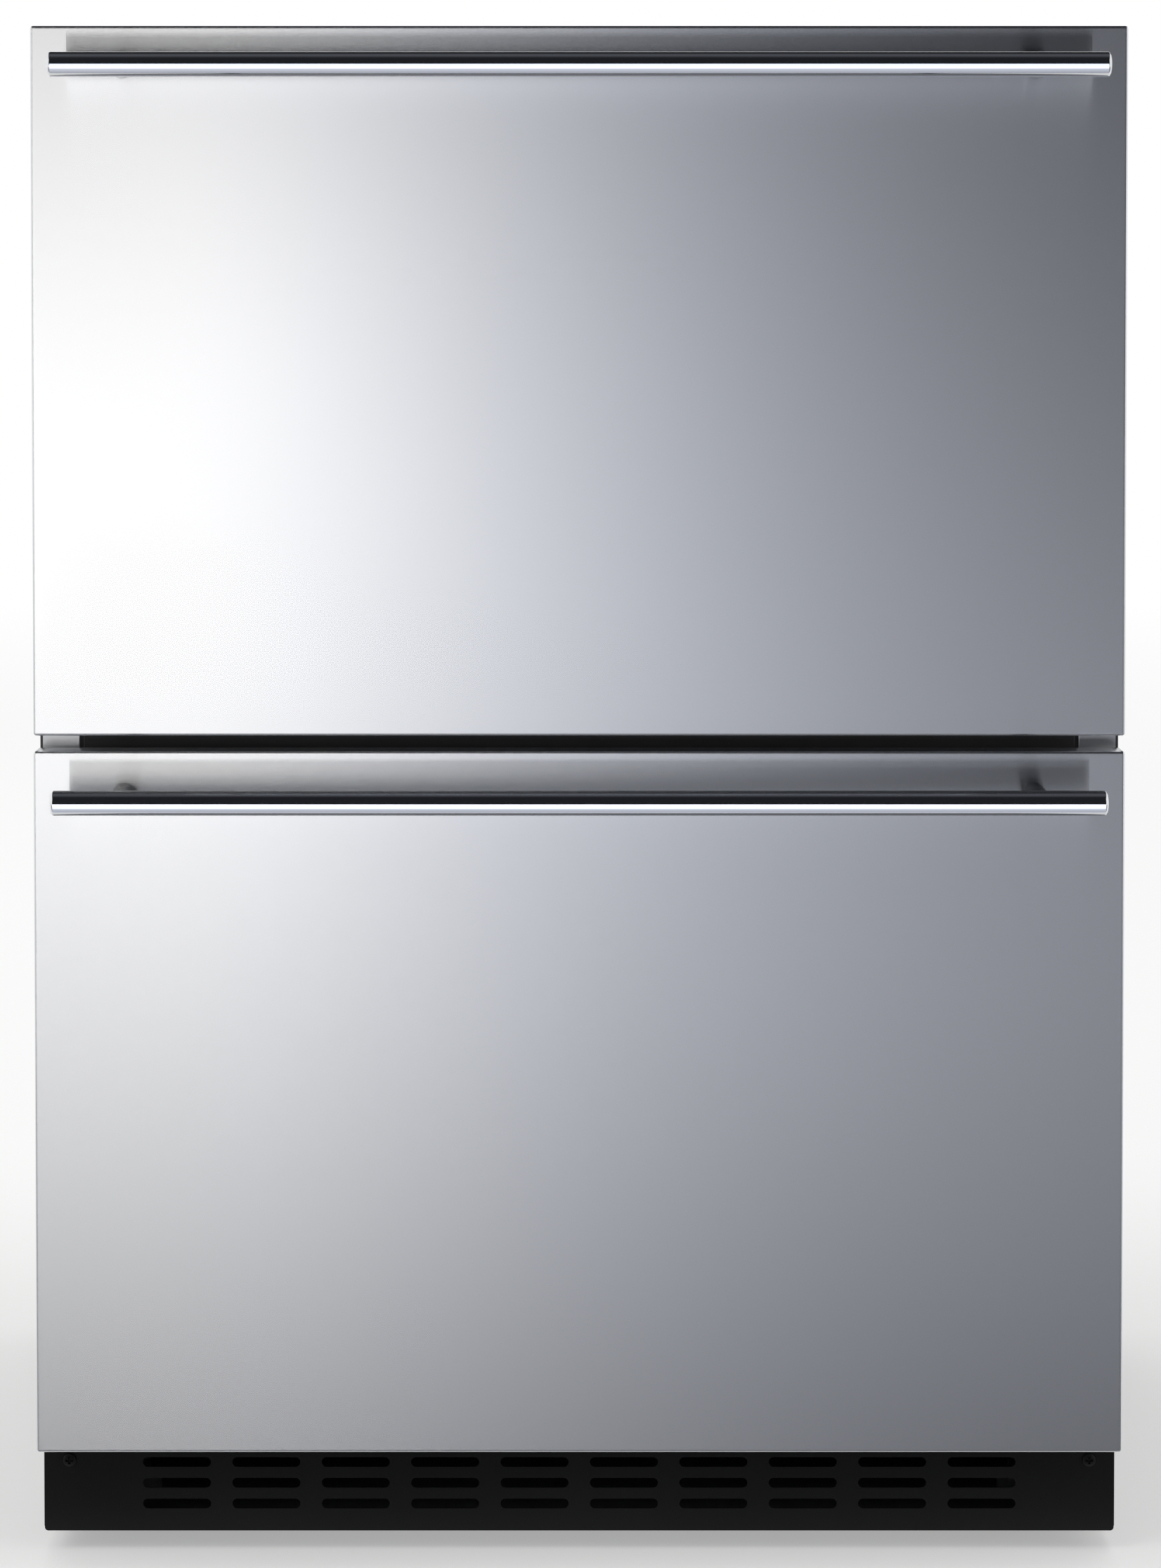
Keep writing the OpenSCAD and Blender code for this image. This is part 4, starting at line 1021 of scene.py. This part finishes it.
def seen(tree):
    # 1 for rays from the camera, off gloss and through glass
    path = addNode(tree, "LightPath").outputs
    direct = maths("MAXIMUM", path["Is Camera Ray"], path["Is Glossy Ray"])
    return maths("MAXIMUM", direct, path["Is Transmission Ray"])


floorLook = {
    "colour": (0.8, 0.8, 0.79), "darker": 0.985, "grain": 40, "half": 14,
    "nearShare": 0.5, "whiteShare": 0.72, "fadeFrom": 0.02, "fadeTo": 0.7,  # whiter away from the object
}


def makeFloor(look):
    material, tree = startMaterial("paleFloor")
    place = objectPlace(tree)
    grain = noise(place, look["grain"], 3)
    colour = between(grain, [c * look["darker"] for c in look["colour"]], look["colour"])
    matt = addOut(tree, "BsdfDiffuse", Color=colour)
    white = addOut(tree, "Emission", Strength=1)
    # Distance outside the object's own footprint
    high = cadBox[1]
    parts = separated(place)
    beside = minus(maths("ABSOLUTE", parts[0]), high[0])
    ahead = minus(maths("ABSOLUTE", parts[1]), high[1])
    away = maths("MAXIMUM", beside, ahead)
    clear = ranged(away, look["nearShare"], 1, look["fadeFrom"], look["fadeTo"], smooth=True)
    far = ranged(away, look["whiteShare"], 1, look["fadeTo"], look["half"] / 2)
    share = times(times(clear, far), seen(tree))
    output(addOut(tree, "MixShader", i0=share, i1=matt, i2=white))
    half = look["half"]
    stageMesh("floor", level(half, -half, half, 0), material)


makeFloor(floorLook)

worldLook = {"ambient": 0.62, "tint": (1, 1, 1)}


def makeWorld(look):
    world = bpy.data.worlds.new("studio")
    scene.world = world
    world.use_nodes = True
    tree = world.node_tree
    tree.nodes.clear()
    strength = ranged(seen(tree), look["ambient"], 1)
    sky = addOut(tree, "Background", Color=(*look["tint"], 1), Strength=strength)
    addNode(tree, "OutputWorld", i0=sky)


makeWorld(worldLook)

# Lamps: place, aim, size and power
lamps = {
    "key": ((-2.2, -2.6, 2.6), (0, 0, 0.45), (1.8, 1.8), 42),
    "fill": ((2.6, -2, 1.6), (0, 0, 0.4), (2, 2), 18),
    "top": ((0.2, 0.4, 3.4), (0, 0, 0.4), (2.4, 2.4), 30),
    "rear": ((-1.5, 3.2, 2.2), (0, 0, 0.4), (2, 2), 22),
    "inside": ((0, -0.143, 0.79), (0, -0.143, 0.1), (0.08, 0.026), 1.2),
}


def makeLamp(name, place, aim, size, power):
    data = bpy.data.lights.new(name, "AREA")
    setAll(data, shape="RECTANGLE", size=size[0], size_y=size[1], energy=power)
    turn = (Vector(aim) - Vector(place)).to_track_quat("-Z", "Y").to_euler()
    setAll(addObject(name, data), location=place, rotation_euler=turn, visible_camera=False,
           visible_glossy=False)


for name, setup in lamps.items():
    makeLamp(name, *setup)

# Cards in front of the fronts. The panels see a glow that falls off to the right.
frontCard = {
    "away": 3.45, "width": 5, "height": 3, "rise": 0.002,
    "glowX": -0.5, "reachX": 0.7, "reachFall": 0.2, "power": 1.5,  # falls off to the right of glowX
    "brim": 0.81, "soft": 0.2, "peak": 4.5, "foot": 0.26,  # and is dark above its brim
}
# The cabinet's bare flange sees a weaker one
flangeCard = dict(frontCard, away=3.35, reachX=0.45, reachFall=0, power=2, peak=1.15, foot=0.6)
floorCard = {"near": 0.02, "rise": 0.001, "width": 5, "close": 0.155, "far": 1.25, "growth": 1.4,
             "fade": 0.4, "least": 0.05, "cool": 0.6}
coolTint = (0.92, 0.97, 1.12)  # colour of what the steel reflects, away from the glow
warmTint = (1.04, 1.02, 0.995)  # and where the glow is full
darkRoom = {"away": 3.6, "width": 7, "height": 4.2, "back": 6,
            "wall": 0.017, "overhead": 0.075, "overheadY": -0.3, "overheadReach": 1.3}


def glowShader(strength, seeThrough, warmth=None):
    tree = strength.id_data
    colour = (*coolTint, 1) if warmth is None else between(warmth, coolTint, warmTint)
    glow = addOut(tree, "Emission", Strength=strength, Color=colour)
    if not seeThrough:
        return glow
    return addOut(tree, "AddShader", i0=glow, i1=addOut(tree, "BsdfTransparent"))


def glossCard(name, corners, material, receivers=None, faces=None):
    # Only reflections see it, and only those of the receivers where they are given
    card = stageMesh(name, corners, material, faces)
    setAll(card, visible_camera=False, visible_diffuse=False, visible_shadow=False,
           visible_transmission=False)
    if receivers:
        group = bpy.data.collections.new(name + "Only")
        for piece in receivers:
            group.objects.link(piece)
        card.light_linking.receiver_collection = group


def makeFrontCard(name, look, receivers):
    material, tree = startMaterial(name + "Glow")
    parts = separated(objectPlace(tree))
    across = maths("MAXIMUM", minus(parts[0], look["glowX"]), 0)
    reach = minus(look["reachX"], times(parts[2], look["reachFall"]))
    fall = maths("POWER", over(across, reach), look["power"])
    glow = maths("EXPONENT", times(fall, -1))
    brim, soft = look["brim"], look["soft"]
    under = ranged(parts[2], 0, 1, brim + soft, brim - soft, smooth=True)
    rise = ranged(parts[2], look["foot"], 1, 0, brim)
    share = times(times(glow, under), rise)
    output(glowShader(times(share, look["peak"]), True, glow))
    corners = upright(look["width"] / 2, faceY - look["away"], look["rise"], look["height"])
    glossCard(name, corners, material, receivers)


def makeFloorCard(look):
    material, tree = startMaterial("floorGlow")
    parts = separated(objectPlace(tree))
    away = maths("MAXIMUM", minus(faceY, parts[1]), look["least"])
    depth = maths("POWER", over(away, frontCard["away"]), look["growth"])
    depth = plus(times(depth, look["far"] - look["close"]), look["close"])
    slope = maths("EXPONENT", times(parts[0], look["fade"]))
    side = over(2, plus(slope, 1))
    warmth = minus(side, look["cool"])
    output(glowShader(times(depth, side), False, warmth))
    corners = level(look["width"] / 2, faceY - frontCard["away"], faceY - look["near"], look["rise"])
    glossCard("floorCard", corners, material)


def makeDarkRoom(look):
    # A dark wall behind the camera and a ceiling, a little lighter over the object
    material, tree = startMaterial("darkRoom")
    along = separated(objectPlace(tree))[1]
    off = over(minus(along, look["overheadY"]), look["overheadReach"])
    lighter = maths("EXPONENT", times(times(off, off), -1))
    strength = plus(times(lighter, look["overhead"]), look["wall"])
    output(glowShader(strength, False))
    y, half, top = faceY - look["away"], look["width"] / 2, look["height"]
    glossCard("darkWall", upright(half, y, 0, top), material)
    glossCard("darkCeiling", level(half, y, look["back"], top), material)


makeFrontCard("frontCard", frontCard, [bpy.data.objects[side + "_front_panel"] for side in sides])
makeFrontCard("flangeCard", flangeCard, [nodes["outer_wrapper"]])
makeFloorCard(floorCard)
makeDarkRoom(darkRoom)

# A grey see-through sheet above each bar, seen by reflections alone, paints shade into the fronts'
# reflection: a painted darkening of the bar's dark image
# Heights are over the bar's top. It fades below its own top edge.
paintedShadeVeil = {
    "halfLength": 280.5,
    "off": 2.5,
    "from": {"upper": 0.3, "lower": -9},
    "to": {"upper": 16.5, "lower": 13},
    "share": {"upper": 0.6, "lower": 0.72},
    "fadeFrom": {"upper": 2.5, "lower": 0.3},
    "fadeTo": {"upper": 7.5, "lower": 3},
}


def makePaintedShadeVeil(side, look):
    material, tree = startMaterial(side + "PaintedShadeVeil")
    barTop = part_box(side + "_handle_bar")[1].z
    bottom, top = [barTop + look[key][side] * mm for key in ("from", "to")]
    up = separated(objectPlace(tree))[2]
    fade = ranged(minus(top, up), 0, 1,
                  look["fadeFrom"][side] * mm, look["fadeTo"][side] * mm, smooth=True)
    # Painted shade: the grey that dims what the fronts reflect, fading out towards the sheet's top edge
    grey = between(fade, (1, 1, 1), [look["share"][side]] * 3)
    output(addOut(tree, "BsdfTransparent", Color=grey))
    corners = upright(look["halfLength"] * mm, faceY - look["off"] * mm, bottom, top)
    setAll(stageMesh(side + "PaintedShadeVeil", corners, material), visible_camera=False, visible_diffuse=False,
           visible_transmission=False)


for side in sides:
    makePaintedShadeVeil(side, paintedShadeVeil)

# Each bar has a curved card of its own, brightest just below its middle. Angles are in degrees.
barGlow = {"reach": {"upper": 0.6, "lower": 0.36}, "halfLength": 0.55, "steps": 24, "sweep": 95,
           "over": 0.05, "band": 0.62, "bandFrom": 52, "bandTo": 36, "rest": 0.66, "fall": 0.0034}


def makeBarGlow(side, look):
    low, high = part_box(side + "_handle_bar")
    axisY, axisZ = (low.y + high.y) / 2, (low.z + high.z) / 2
    # The ray from the camera to the middle of the bar leaves it at this angle over the horizon
    middle = math.atan2(axisZ - camera.location.z, axisY - camera.location.y)
    material, tree = startMaterial(side + "BarGlow")
    parts = separated(objectPlace(tree))
    up = minus(parts[2], axisZ)
    away = minus(axisY, parts[1])
    below = minus(middle, maths("ARCTAN2", up, away))
    degrees = over(below, math.radians(1))
    band = ranged(degrees, 0, look["band"], look["bandFrom"], look["bandTo"], smooth=True)
    rest = minus(look["rest"], times(degrees, look["fall"]))
    lit = maths("GREATER_THAN", below, 0)
    output(glowShader(times(plus(band, rest), lit), True))
    reach, half = look["reach"][side], look["halfLength"]
    corners = []
    for step in range(look["steps"] + 1):
        angle = middle + look["over"] - math.radians(look["sweep"]) * step / look["steps"]
        y, z = axisY - reach * math.cos(angle), axisZ + reach * math.sin(angle)
        corners += [(-half, y, z), (half, y, z)]
    faces = [(k, k + 1, k + 3, k + 2) for k in range(0, 2 * look["steps"], 2)]
    glossCard(side + "BarGlow", corners, material, [bars[side]], faces)


for side in sides:
    makeBarGlow(side, barGlow)
print("studio set")
